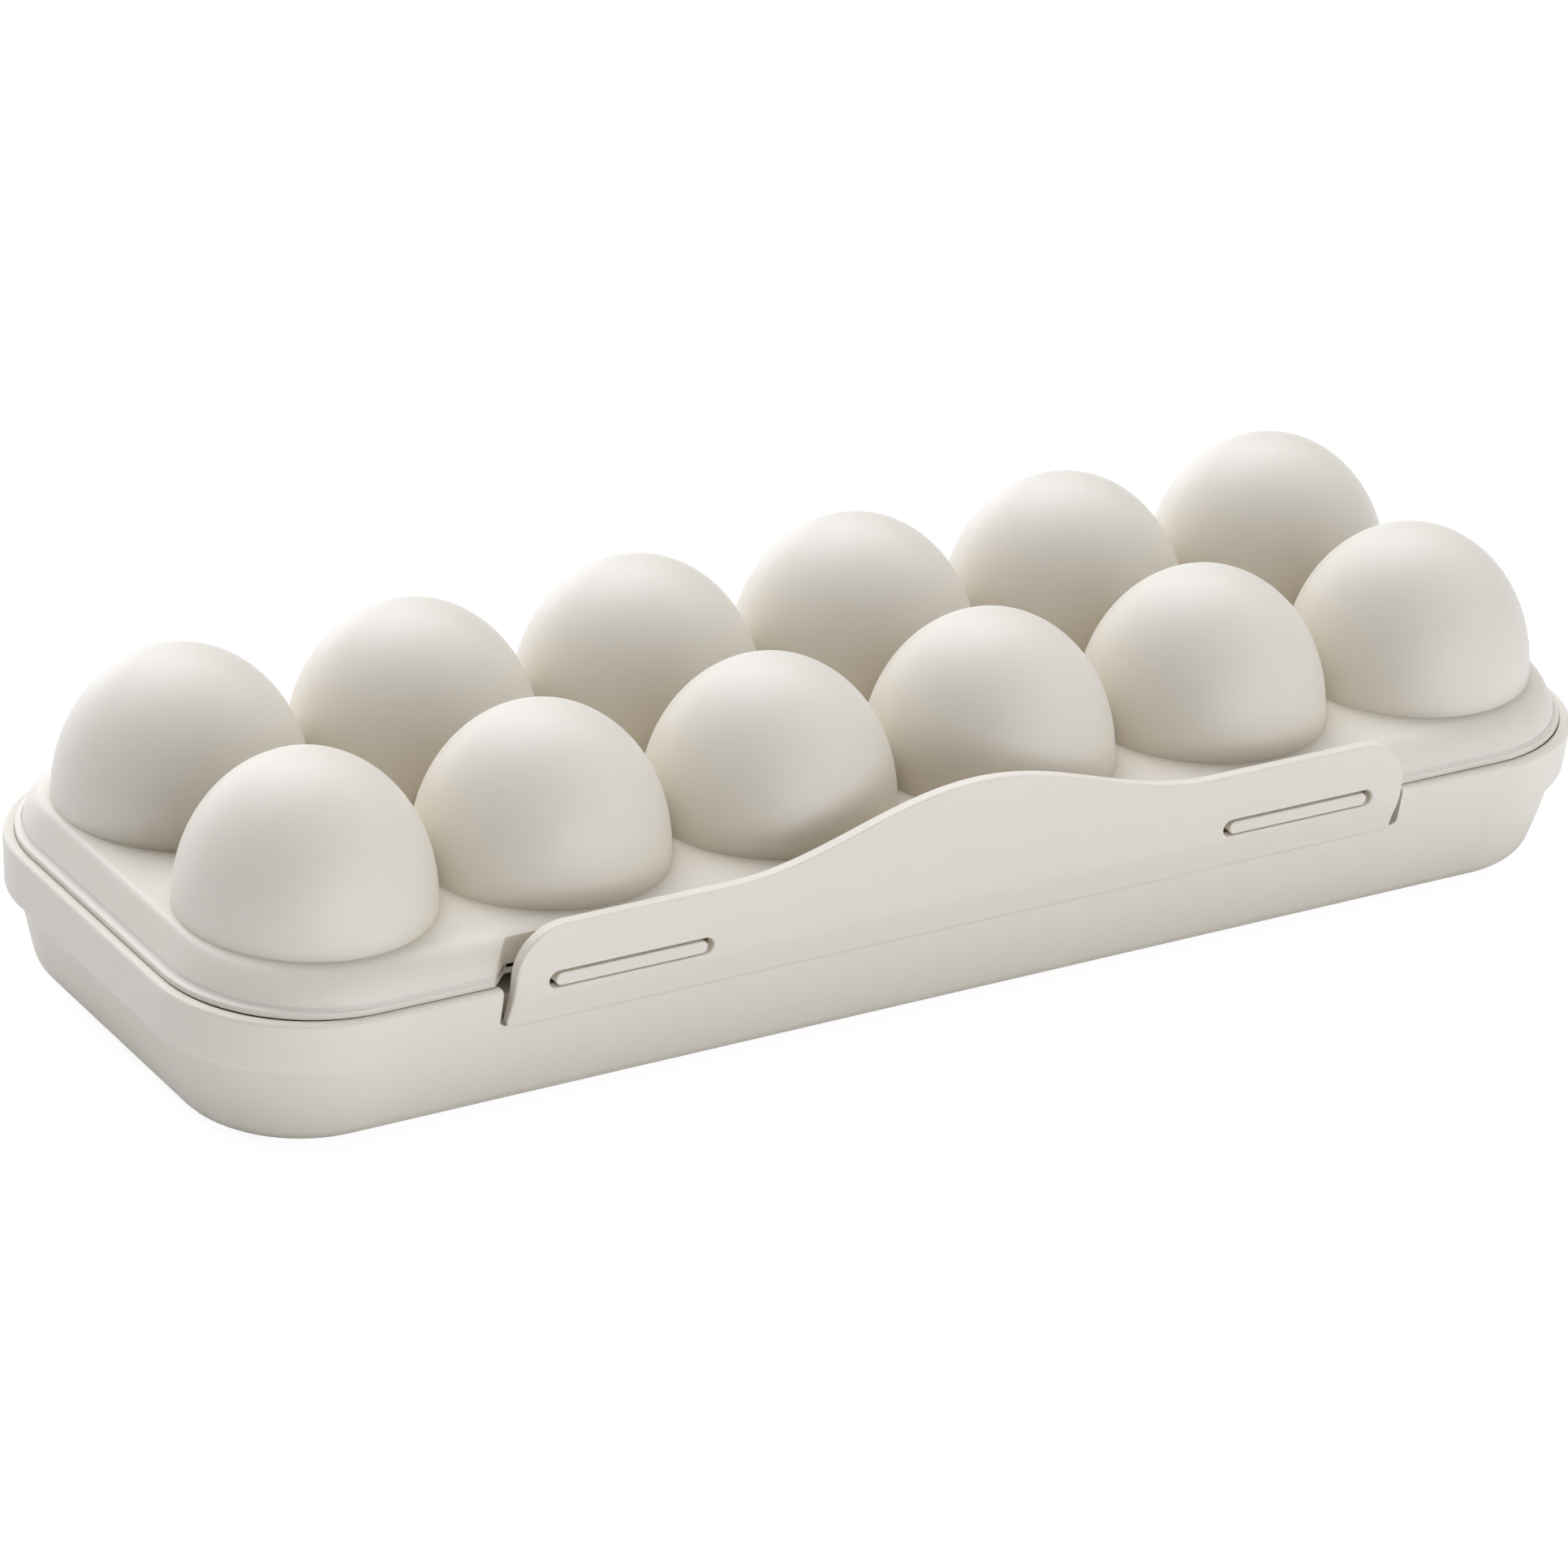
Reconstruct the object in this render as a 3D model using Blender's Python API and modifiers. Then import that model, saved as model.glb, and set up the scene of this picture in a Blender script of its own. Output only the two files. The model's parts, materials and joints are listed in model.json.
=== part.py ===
"""Egg storage box: a base with an egg tray, a domed flip lid and a springy latch panel.

Metres, +Z up, +X along the box, the latch panel faces -Y. The origin is the middle of the
underside of the base. Run with: blender --background --python part.py
"""
import math

import bmesh
import bpy
from mathutils import Matrix, Vector

# Egg places
EGG_PITCH = 0.0500
EGG_COLUMNS = 6
EGG_ROWS = 2

# Lid
DOME_GAP = 0.0004
DOME_HEIGHT = 0.0300
DECK_MARGIN = 0.0004
LID_WALL = 0.0018
LID_SKIRT = 0.0078
LID_END_ROUND = 0.0030
LID_END_ROUND_HEIGHT = 0.0025
LID_SIDE_ROUND = 0.0062
FLANGE_REACH = 0.0023
FLANGE_SIDE_REACH = 0.0003
FLANGE_THICKNESS = 0.0010
SHOULDER_SHARES = (0, 0.03, 0.12, 0.35, 0.65, 1)

# Base
BASE_HEIGHT = 0.0289
BASE_WALL = 0.0024
BASE_FLOOR = 0.0020
SEAT_LAP = 0.0004
SHELF_LEDGE = 0.0014
RIM_ROUND = 0.0008
GRIP_BAND = 0.0098
GRIP_STEP = 0.0036
GRIP_STEP_HEIGHT = 0.0030
END_DRAFT = 0.0015
SIDE_FLARE = 0.0086
SIDE_FLARE_POWER = 2.2
STEP_SHARES = (0, 0.3, 0.7, 1)
BOTTOM_ROUND = 0.0045

# Egg tray
TRAY_WALL = 0.0014
TRAY_DROP = 0.0037
TRAY_CLEARANCE = 0.0006
CUP_LAND = 0.0068
CUP_FLOOR_RADIUS = 0.0090

# Latch panel in the front wall, with its slots and the lid's catches
PANEL_END_MARGIN = 0.0578
PANEL_THICKNESS = 0.0026
PANEL_ROOT_THICKNESS = 0.0018
PANEL_LEAN = 0.0015
PANEL_RISE = 0.0126
PANEL_CORNER = 0.0100
WAVE_HEIGHT = 0.0107
WAVE_HALF_WIDTH = 0.0540
SLIT_WIDTH = 0.0016
SLIT_DEPTH = 0.0080
SLIT_ROUND = 0.0014
NOTCH_MARGIN = 0.0029
NOTCH_DEPTH = 0.0038
NOTCH_SLANT = 0.0046
SLOT_LENGTH = 0.0350
SLOT_HEIGHT = 0.0036
SLOT_END_MARGIN = 0.0072
CATCH_RISE = 0.0005
CATCH_END_GAP = 0.0017
CATCH_SIDE_GAP = 0.0005
CATCH_RECESS = 0.0002
CATCH_BEVEL = 0.0004

# Hinge
HINGE_END_MARGIN = 0.0625
PIN_RADIUS = 0.0014
CLIP_WALL = 0.0015
CLIP_ARM = 0.0019
CLIP_WIDTH = 0.0100
CLIP_GAP = 0.0008
CLIP_MOUTH_HALF_ANGLE = math.radians(25)
LUG_THICKNESS = 0.0030
LUG_SIDE_GAP = 0.0006
LUG_DROP = 0.0090

# Fits and cuts
FIT_GAP = 0.0003
OVERRUN = 0.0100

# Facets
CORNER_STEPS = 8
DOME_SIDES = 24
DOME_RINGS = 7
DOME_HOLLOW_SIDES = 18
DOME_HOLLOW_RINGS = 5
CUP_SIDES = 18
CUP_RINGS = 4
ROUND_STEPS = 10
WAVE_STEPS = 16

# Finish
CREAM = (0.672, 0.640, 0.575)
LID_ROUGHNESS = 0.48
BASE_ROUGHNESS = 0.50
TRAY_ROUGHNESS = 0.55


def face_inset(z):
    """How far the long walls stand in from the panel's face at height z."""
    share = max(0, (PANEL_TOP - z) / PANEL_TOP)
    return SIDE_FLARE * share ** SIDE_FLARE_POWER


# Heights
LID_BOTTOM = BASE_HEIGHT + FIT_GAP
DECK_TOP = LID_BOTTOM + LID_SKIRT
PANEL_TOP = BASE_HEIGHT + PANEL_RISE
PANEL_ROOT = BASE_HEIGHT - SLIT_DEPTH
GRIP_STEP_TOP = BASE_HEIGHT - GRIP_BAND
GRIP_STEP_BOTTOM = GRIP_STEP_TOP - GRIP_STEP_HEIGHT
TRAY_BOTTOM = GRIP_STEP_TOP + FIT_GAP
TRAY_TOP = BASE_HEIGHT - TRAY_DROP
CUP_FLOOR_TOP = BASE_FLOOR + FIT_GAP + TRAY_WALL
CATCH_Z = LID_BOTTOM + CATCH_RISE
HINGE_Z = LID_BOTTOM

# Half sizes and radii, from the eggs outward
DOME_RADIUS = (EGG_PITCH - DOME_GAP) / 2
CUP_RADIUS = (EGG_PITCH - CUP_LAND) / 2
DECK_HALF_LENGTH = (EGG_COLUMNS - 1) / 2 * EGG_PITCH + DOME_RADIUS + DECK_MARGIN
DECK_HALF_DEPTH = (EGG_ROWS - 1) / 2 * EGG_PITCH + DOME_RADIUS + DECK_MARGIN
SKIRT_HALF_LENGTH = DECK_HALF_LENGTH + LID_END_ROUND
SKIRT_HALF_DEPTH = DECK_HALF_DEPTH + LID_SIDE_ROUND
LID_CORNER = DOME_RADIUS + DECK_MARGIN + LID_END_ROUND
RIM_PAST_SKIRT = BASE_WALL - SEAT_LAP
RIM_HALF_LENGTH = SKIRT_HALF_LENGTH + FLANGE_REACH + RIM_PAST_SKIRT
RIM_HALF_DEPTH = SKIRT_HALF_DEPTH + FLANGE_SIDE_REACH + RIM_PAST_SKIRT
RIM_CORNER = LID_CORNER + FLANGE_SIDE_REACH + RIM_PAST_SKIRT
FACE_HALF_DEPTH = RIM_HALF_DEPTH + face_inset(BASE_HEIGHT)
TRAY_HALF_LENGTH = RIM_HALF_LENGTH - BASE_WALL - TRAY_CLEARANCE
TRAY_HALF_DEPTH = FACE_HALF_DEPTH - face_inset(TRAY_BOTTOM) - BASE_WALL - TRAY_CLEARANCE
OUTER_REACH = RIM_HALF_LENGTH + OVERRUN

# Places along the box and at the hinge
PANEL_HALF_WIDTH = RIM_HALF_LENGTH - PANEL_END_MARGIN
NOTCH_HALF_WIDTH = PANEL_HALF_WIDTH + NOTCH_MARGIN
NOTCH_Y = NOTCH_DEPTH - SKIRT_HALF_DEPTH
SLOT_CENTRE = PANEL_HALF_WIDTH - SLOT_END_MARGIN - SLOT_LENGTH / 2
HINGE_X = RIM_HALF_LENGTH - HINGE_END_MARGIN
CLIP_BORE = PIN_RADIUS + FIT_GAP
CLIP_OUTER = CLIP_BORE + CLIP_WALL
HINGE_Y = RIM_HALF_DEPTH + CLIP_GAP + CLIP_OUTER


# Collections and finish

def clear_scene():
    for obj in list(bpy.data.objects):
        bpy.data.objects.remove(obj, do_unlink=True)


def new_collection(name):
    collection = bpy.data.collections.new(name)
    bpy.context.scene.collection.children.link(collection)
    return collection


def plastic(name, roughness):
    material = bpy.data.materials.new(name)
    material.use_nodes = True
    shader = material.node_tree.nodes["Principled BSDF"]
    shader.inputs["Base Color"].default_value = (*CREAM, 1)
    shader.inputs["Roughness"].default_value = roughness
    shader.inputs["Metallic"].default_value = 0
    return material


# Mesh helpers

def object_from_bmesh(bm, name, collection):
    bmesh.ops.recalc_face_normals(bm, faces=bm.faces)
    mesh = bpy.data.meshes.new(name)
    bm.to_mesh(mesh)
    bm.free()
    obj = bpy.data.objects.new(name, mesh)
    collection.objects.link(obj)
    return obj


def as_guide(obj):
    obj.hide_render = True
    obj.display_type = "WIRE"
    return obj


def rounded_outline(half_length, half_depth, radius, z):
    """Points round a rectangle with round corners, level at height z."""
    points = []
    for quarter, (sign_x, sign_y) in enumerate(((1, 1), (-1, 1), (-1, -1), (1, -1))):
        centre = Vector((sign_x * (half_length - radius), sign_y * (half_depth - radius), z))
        for step in range(CORNER_STEPS + 1):
            turn = math.pi / 2 * (quarter + step / CORNER_STEPS)
            points.append(centre + Vector((radius * math.cos(turn), radius * math.sin(turn), 0)))
    return points


def ring_of(bm, points):
    return [bm.verts.new(point) for point in points]


def bridge(bm, ring_a, ring_b):
    count = len(ring_a)
    for i in range(count):
        j = (i + 1) % count
        bm.faces.new((ring_a[i], ring_a[j], ring_b[j], ring_b[i]))


def loop_edges(bm, ring):
    return [bm.edges.get((ring[i], ring[i - 1])) or bm.edges.new((ring[i], ring[i - 1]))
            for i in range(len(ring))]


def circle_points(centre, radius, sides):
    turns = [math.tau * i / sides for i in range(sides)]
    return [centre + Vector((radius * math.cos(a), radius * math.sin(a), 0)) for a in turns]


def plate(name, outline, start, depth, plane, collection):
    """A flat outline given depth, as a filled curve turned into a mesh.

    The outline lies in XY, XZ or YZ and is carried along the third axis.
    """
    curve = bpy.data.curves.new(name, "CURVE")
    curve.dimensions = "2D"
    curve.fill_mode = "BOTH"
    curve.extrude = depth / 2
    spline = curve.splines.new("POLY")
    spline.points.add(len(outline) - 1)
    for point, (u, v) in zip(spline.points, outline):
        point.co = (u, v, 0, 1)
    spline.use_cyclic_u = True
    source = bpy.data.objects.new(name, curve)
    collection.objects.link(source)
    middle = start + depth / 2
    rows = {"XY": ((1, 0, 0, 0), (0, 1, 0, 0), (0, 0, 1, middle)),
            "XZ": ((1, 0, 0, 0), (0, 0, 1, middle), (0, 1, 0, 0)),
            "YZ": ((0, 0, 1, middle), (1, 0, 0, 0), (0, 1, 0, 0))}
    source.matrix_world = Matrix((*rows[plane], (0, 0, 0, 1)))
    return mesh_from(source, name, collection)


def mesh_from(source, name, collection):
    bpy.context.view_layer.update()
    graph = bpy.context.evaluated_depsgraph_get()
    mesh = bpy.data.meshes.new_from_object(source.evaluated_get(graph))
    mesh.transform(source.matrix_world)
    bpy.data.objects.remove(source, do_unlink=True)
    bm = bmesh.new()
    bm.from_mesh(mesh)
    bpy.data.meshes.remove(mesh)
    bmesh.ops.remove_doubles(bm, verts=bm.verts, dist=FIT_GAP / 100)
    return object_from_bmesh(bm, name, collection)


def boolean(target, tool, operation):
    modifier = target.modifiers.new(operation.lower() + "_" + tool.name, "BOOLEAN")
    modifier.operation = operation
    modifier.solver = "EXACT"
    modifier.object = tool
    as_guide(tool)


def quarter_round(depth, height, drop):
    """How far a quarter-elliptic edge stands in from its side, at a drop below its top."""
    if depth <= 0 or drop >= height:
        return 0
    return depth * (1 - math.sqrt(1 - (1 - drop / height) ** 2))


# The base wall

def soft_share(z, start, height):
    """Rises softly from 0 at the start to 1 at that height above it."""
    share = min(1, max(0, (z - start) / height))
    return share * share * (3 - 2 * share)


def end_inset(z):
    """How far the end walls stand in from the rim at height z, with the soft grip step."""
    step_share = soft_share(z, GRIP_STEP_BOTTOM, GRIP_STEP_HEIGHT)
    draft = END_DRAFT * max(0, 1 - z / GRIP_STEP_BOTTOM)
    return GRIP_STEP * (1 - step_share) + draft


def wall_outline(z, inset_x, inset_y, inward):
    """The base wall's outline at height z, drawn in by both insets and moved inward."""
    half_length = RIM_HALF_LENGTH - inset_x - inward
    half_depth = FACE_HALF_DEPTH - inset_y - inward
    taper = (inset_x + inset_y - face_inset(BASE_HEIGHT)) / 2
    return rounded_outline(half_length, half_depth, RIM_CORNER - taper - inward, z)


def outer_outline(z, inward):
    return wall_outline(z, end_inset(z), face_inset(z), inward)


def inner_outline(z):
    return wall_outline(z, end_inset(z), face_inset(z), BASE_WALL)


def socket_outline(z):
    """The inner wall above the shelf, where the wall stands out to hold the tray's edge."""
    return wall_outline(z, 0, face_inset(z), BASE_WALL)


# Base

def round_rings(first_z, height_sign, radius, steps):
    """Outer outlines round a bottom or top edge: each is drawn in as a quarter circle is."""
    rings = []
    for step in range(steps + 1):
        turn = math.pi / 2 * step / steps
        rings.append(outer_outline(first_z + height_sign * radius * (1 - math.cos(turn)),
                                   radius * (1 - math.sin(turn))))
    return rings


def base_rings():
    """The outlines of the tub, up its outside and down its inside."""
    middle = (BOTTOM_ROUND + GRIP_STEP_BOTTOM) / 2
    inner_round = max(FIT_GAP, BOTTOM_ROUND - BASE_WALL)
    rings = round_rings(0, 1, BOTTOM_ROUND, 3)
    rings.append(outer_outline(middle, 0))
    for share in STEP_SHARES:
        rings.append(outer_outline(GRIP_STEP_BOTTOM + GRIP_STEP_HEIGHT * share, 0))
    rings.append(outer_outline((GRIP_STEP_TOP + BASE_HEIGHT) / 2, 0))
    rings += reversed(round_rings(BASE_HEIGHT, -1, RIM_ROUND, 2))
    rings.append(socket_outline(BASE_HEIGHT))
    rings.append(socket_outline((GRIP_STEP_TOP + BASE_HEIGHT) / 2))
    rings.append(socket_outline(GRIP_STEP_TOP))
    shelf_inward = BASE_WALL + SHELF_LEDGE
    rings.append(wall_outline(GRIP_STEP_TOP, GRIP_STEP, face_inset(GRIP_STEP_TOP), shelf_inward))
    rings.append(inner_outline(GRIP_STEP_BOTTOM))
    rings.append(inner_outline(middle))
    rings.append(inner_outline(BASE_FLOOR + inner_round))
    floor_inward = BASE_WALL + inner_round
    rings.append(wall_outline(BASE_FLOOR, end_inset(BASE_FLOOR), face_inset(BASE_FLOOR), floor_inward))
    return rings


def base_tub(collection):
    """The tub is a loft between unlike outlines, so its faces are joined ring by ring."""
    bm = bmesh.new()
    rings = [ring_of(bm, points) for points in base_rings()]
    for lower, upper in zip(rings, rings[1:]):
        bridge(bm, lower, upper)
    bm.faces.new(rings[0])
    bm.faces.new(rings[-1])
    return object_from_bmesh(bm, "base_shell", collection)


def lug_outline():
    root = FACE_HALF_DEPTH - face_inset(HINGE_Z - LUG_DROP) - BASE_WALL / 4
    under_rim = BASE_HEIGHT - FIT_GAP
    points = [(root, under_rim), (root, HINGE_Z - LUG_DROP)]
    points += hinge_arc(CLIP_OUTER, -math.pi / 3, math.pi / 2, ROUND_STEPS)
    points.append((HINGE_Y - CLIP_OUTER, under_rim))
    return points


def hinge_arc(radius, first, last, steps):
    turns = [first + (last - first) * i / steps for i in range(steps + 1)]
    return [(HINGE_Y + radius * math.cos(a), HINGE_Z + radius * math.sin(a)) for a in turns]


def add_hinge_yokes(base, guides):
    """Two lugs and the moulded pin between them, at each hinge."""
    inner_face = CLIP_WIDTH / 2 + LUG_SIDE_GAP
    for number, x in enumerate((-HINGE_X, HINGE_X), 1):
        for side, start in (("a", x - inner_face - LUG_THICKNESS), ("b", x + inner_face)):
            name = "hinge_lug_%d%s" % (number, side)
            boolean(base, plate(name, lug_outline(), start, LUG_THICKNESS, "YZ", guides), "UNION")
        length = 2 * inner_face + LUG_THICKNESS
        bpy.ops.mesh.primitive_cylinder_add(vertices=2 * ROUND_STEPS, radius=PIN_RADIUS, depth=length,
                                            location=(x, HINGE_Y, HINGE_Z),
                                            rotation=(0, math.pi / 2, 0))
        pin = bpy.context.object
        pin.name = "hinge_pin_%d" % number
        move_to(pin, guides)
        boolean(base, pin, "UNION")


def move_to(obj, collection):
    for owner in list(obj.users_collection):
        owner.objects.unlink(obj)
    collection.objects.link(obj)


def window_outline():
    half = PANEL_HALF_WIDTH + SLIT_WIDTH
    bottom = PANEL_ROOT - FIT_GAP
    points = [(half, BASE_HEIGHT + OVERRUN), (-half, BASE_HEIGHT + OVERRUN)]
    for centre_x, first in ((-half + SLIT_ROUND, math.pi), (half - SLIT_ROUND, math.pi * 1.5)):
        for step in range(ROUND_STEPS // 2 + 1):
            turn = first + math.pi / 2 * step / (ROUND_STEPS // 2)
            x = centre_x + SLIT_ROUND * math.cos(turn)
            points.append((x, bottom + SLIT_ROUND + SLIT_ROUND * math.sin(turn)))
    return points


def build_base(parts, guides):
    base = base_tub(parts)
    inner_face = -(FACE_HALF_DEPTH - face_inset(PANEL_ROOT) - BASE_WALL)
    depth = OUTER_REACH + inner_face + OVERRUN / 10
    window = plate("panel_window", window_outline(), inner_face + OVERRUN / 10 - depth, depth, "XZ", guides)
    boolean(base, window, "DIFFERENCE")
    add_hinge_yokes(base, guides)
    base.data.materials.append(plastic("base_cream", BASE_ROUGHNESS))
    return base


# Egg tray

def egg_places():
    places = []
    for row in range(EGG_ROWS):
        for column in range(EGG_COLUMNS):
            x = (column - (EGG_COLUMNS - 1) / 2) * EGG_PITCH
            y = (row - (EGG_ROWS - 1) / 2) * EGG_PITCH
            places.append(Vector((x, y, 0)))
    return places


def tray_outline(z):
    radius = RIM_CORNER - face_inset(TRAY_BOTTOM) / 2 - BASE_WALL - TRAY_CLEARANCE
    return rounded_outline(TRAY_HALF_LENGTH, TRAY_HALF_DEPTH, radius, z)


def add_cup(bm, place, mouth):
    """One cup, a quarter ellipse turned about its egg's axis and closed by a flat floor."""
    ring = mouth
    depth = TRAY_TOP - CUP_FLOOR_TOP
    for step in range(1, CUP_RINGS + 1):
        turn = math.pi / 2 * step / CUP_RINGS
        radius = CUP_FLOOR_RADIUS + (CUP_RADIUS - CUP_FLOOR_RADIUS) * math.cos(turn)
        centre = place + Vector((0, 0, TRAY_TOP - depth * math.sin(turn)))
        lower = ring_of(bm, circle_points(centre, radius, CUP_SIDES))
        bridge(bm, ring, lower)
        ring = lower
    bm.faces.new(ring)


def build_tray(parts):
    """The tray's upper surface: a deck with cups hung in it and a skirt, made a shell by Solidify."""
    bm = bmesh.new()
    edge = ring_of(bm, tray_outline(TRAY_TOP))
    bridge(bm, edge, ring_of(bm, tray_outline(TRAY_BOTTOM)))
    fill = loop_edges(bm, edge)
    for place in egg_places():
        mouth = ring_of(bm, circle_points(place + Vector((0, 0, TRAY_TOP)), CUP_RADIUS, CUP_SIDES))
        fill += loop_edges(bm, mouth)
        add_cup(bm, place, mouth)
    bmesh.ops.triangle_fill(bm, use_beauty=True, edges=fill)
    tray = object_from_bmesh(bm, "egg_tray", parts)
    if min(tray.data.polygons, key=lambda face: face.center.z).normal.z < 0:
        tray.data.flip_normals()
    shell = tray.modifiers.new("tray_wall", "SOLIDIFY")
    shell.thickness = TRAY_WALL
    shell.offset = -1
    shell.use_even_offset = True
    tray.data.materials.append(plastic("tray_cream", TRAY_ROUGHNESS))
    return tray


# Lid

def lid_outline(drop, wall, reach_x, reach_y):
    """The lid's outline at a drop below its deck; wall moves it inward for the hollow."""
    end_round = quarter_round(LID_END_ROUND - wall, LID_END_ROUND_HEIGHT - wall, drop)
    side_round = quarter_round(LID_SIDE_ROUND - wall, side_round_height(wall), drop)
    half_length = SKIRT_HALF_LENGTH - wall - end_round + reach_x
    half_depth = SKIRT_HALF_DEPTH - wall - side_round + reach_y
    radius = LID_CORNER - wall - end_round + reach_y
    return rounded_outline(half_length, half_depth, radius, DECK_TOP - wall - drop)


def side_round_height(wall):
    return LID_SKIRT - FLANGE_THICKNESS - wall


def shoulder_rings(wall, bottom_drop):
    """Outlines from the deck's edge down; the outer body ends in a flange, the hollow runs past it."""
    rings = [lid_outline(side_round_height(wall) * share, wall, 0, 0) for share in SHOULDER_SHARES]
    if wall > 0:
        rings.append(lid_outline(bottom_drop, wall, 0, 0))
        return rings
    for drop in (bottom_drop - FLANGE_THICKNESS / 2, bottom_drop):
        rings.append(lid_outline(drop, wall, FLANGE_REACH, FLANGE_SIDE_REACH))
    return rings


def add_dome(bm, place, foot, radius, height, rings):
    """One dome, an upright half ellipse turned about its egg's axis."""
    ring = foot
    base = foot[0].co.z
    for step in range(1, rings):
        turn = math.pi / 2 * step / rings
        centre = place + Vector((0, 0, base + height * math.sin(turn)))
        upper = ring_of(bm, circle_points(centre, radius * math.cos(turn), len(foot)))
        bridge(bm, ring, upper)
        ring = upper
    tip = bm.verts.new(place + Vector((0, 0, base + height)))
    for i in range(len(ring)):
        bm.faces.new((ring[i - 1], ring[i], tip))


def lid_solid(name, wall, bottom_drop, sides, dome_rings, collection):
    """A closed body with the lid's outer shape, or with the shape of the hollow under it."""
    bm = bmesh.new()
    rings = [ring_of(bm, points) for points in shoulder_rings(wall, bottom_drop)]
    for upper, lower in zip(rings, rings[1:]):
        bridge(bm, upper, lower)
    bm.faces.new(rings[-1])
    fill = loop_edges(bm, rings[0])
    for place in egg_places():
        centre = place + Vector((0, 0, DECK_TOP - wall))
        foot = ring_of(bm, circle_points(centre, DOME_RADIUS - wall, sides))
        fill += loop_edges(bm, foot)
        add_dome(bm, place, foot, DOME_RADIUS - wall, DOME_HEIGHT, dome_rings)
    bmesh.ops.triangle_fill(bm, use_beauty=True, edges=fill)
    return object_from_bmesh(bm, name, collection)


def notch_plate(name, grow, collection):
    """A block with slanted ends in front of the lid's skirt, where the latch panel stands."""
    half = NOTCH_HALF_WIDTH + grow
    back = NOTCH_Y + grow
    slant = NOTCH_SLANT + grow * (2 - math.sqrt(2))
    outline = [(-half, -OUTER_REACH), (half, -OUTER_REACH), (half, back - slant),
               (half - slant, back), (slant - half, back), (-half, back - slant)]
    low, high = LID_BOTTOM - OVERRUN - OVERRUN, DECK_TOP + OVERRUN
    return plate(name, outline, low, high - low, "XY", collection)


def clip_outline():
    """The hinge clip from the side: an arm and an open ring that snaps over the base's pin."""
    arm_end = SKIRT_HALF_DEPTH - LID_WALL / 2
    arm_top = HINGE_Z + CLIP_OUTER
    arm_turn = math.pi - math.asin((CLIP_OUTER - CLIP_ARM) / CLIP_OUTER)
    mouth_a = CLIP_MOUTH_HALF_ANGLE - math.pi / 2
    mouth_b = 3 * math.pi / 2 - CLIP_MOUTH_HALF_ANGLE
    points = [(arm_end, arm_top - CLIP_ARM), (arm_end, arm_top)]
    points += hinge_arc(CLIP_OUTER, math.pi / 2, mouth_a, ROUND_STEPS)
    points += hinge_arc(CLIP_BORE, mouth_a, mouth_b, 2 * ROUND_STEPS)
    points += hinge_arc(CLIP_OUTER, mouth_b, arm_turn, ROUND_STEPS // 2)
    return points


def build_lid(parts, guides):
    lid = lid_solid("lid_shell", 0, LID_SKIRT, DOME_SIDES, DOME_RINGS, parts)
    boolean(lid, notch_plate("skirt_notch", 0, guides), "DIFFERENCE")
    reach = LID_SKIRT + OVERRUN
    hollow = lid_solid("lid_hollow", LID_WALL, reach, DOME_HOLLOW_SIDES, DOME_HOLLOW_RINGS, guides)
    boolean(hollow, notch_plate("hollow_notch", LID_WALL, guides), "DIFFERENCE")
    boolean(lid, hollow, "DIFFERENCE")
    for number, x in enumerate((-HINGE_X, HINGE_X), 1):
        clip = plate("hinge_clip_%d" % number, clip_outline(), x - CLIP_WIDTH / 2, CLIP_WIDTH, "YZ", guides)
        boolean(lid, clip, "UNION")
    lid.data.materials.append(plastic("lid_cream", LID_ROUGHNESS))
    return lid


def pill_outline(centre_x, centre_z, length, height):
    radius = height / 2
    reach = length / 2 - radius
    points = []
    for centre, first in ((centre_x + reach, -math.pi / 2), (centre_x - reach, math.pi / 2)):
        for step in range(ROUND_STEPS + 1):
            turn = first + math.pi * step / ROUND_STEPS
            points.append((centre + radius * math.cos(turn), centre_z + radius * math.sin(turn)))
    return points


def build_catch(name, centre_x, parts):
    """A bar on the lid's skirt that snaps into a slot of the latch panel."""
    length = SLOT_LENGTH - 2 * CATCH_END_GAP
    height = SLOT_HEIGHT - 2 * CATCH_SIDE_GAP
    front = CATCH_RECESS - panel_face(CATCH_Z)
    back = NOTCH_Y - FIT_GAP
    catch = plate(name, pill_outline(centre_x, CATCH_Z, length, height), front, back - front, "XZ", parts)
    bevel = catch.modifiers.new("catch_edge", "BEVEL")
    bevel.width = CATCH_BEVEL
    bevel.segments = 1
    bevel.limit_method = "ANGLE"
    catch.data.materials.append(plastic(name + "_cream", LID_ROUGHNESS))
    return catch


# Latch panel

def panel_outline():
    """The front view of the panel: round upper corners and one smooth wave in its top edge."""
    half = PANEL_HALF_WIDTH
    points = [(-half, PANEL_ROOT), (half, PANEL_ROOT)]
    for step in range(ROUND_STEPS + 1):
        turn = math.pi / 2 * step / ROUND_STEPS
        x = half - PANEL_CORNER + PANEL_CORNER * math.cos(turn)
        points.append((x, PANEL_TOP - PANEL_CORNER + PANEL_CORNER * math.sin(turn)))
    for step in range(WAVE_STEPS + 1):
        share = 1 - 2 * step / WAVE_STEPS
        rise = WAVE_HEIGHT * (1 + math.cos(math.pi * share)) / 2
        points.append((WAVE_HALF_WIDTH * share, PANEL_TOP + rise))
    for step in range(ROUND_STEPS + 1):
        turn = math.pi / 2 * (1 + step / ROUND_STEPS)
        x = -half + PANEL_CORNER + PANEL_CORNER * math.cos(turn)
        points.append((x, PANEL_TOP - PANEL_CORNER + PANEL_CORNER * math.sin(turn)))
    return points


def panel_face(z):
    """How far out the panel's face is: above its root it leans forward of the base's wall."""
    return FACE_HALF_DEPTH - face_inset(z) + PANEL_LEAN * soft_share(z, PANEL_ROOT, SLIT_DEPTH)


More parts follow.
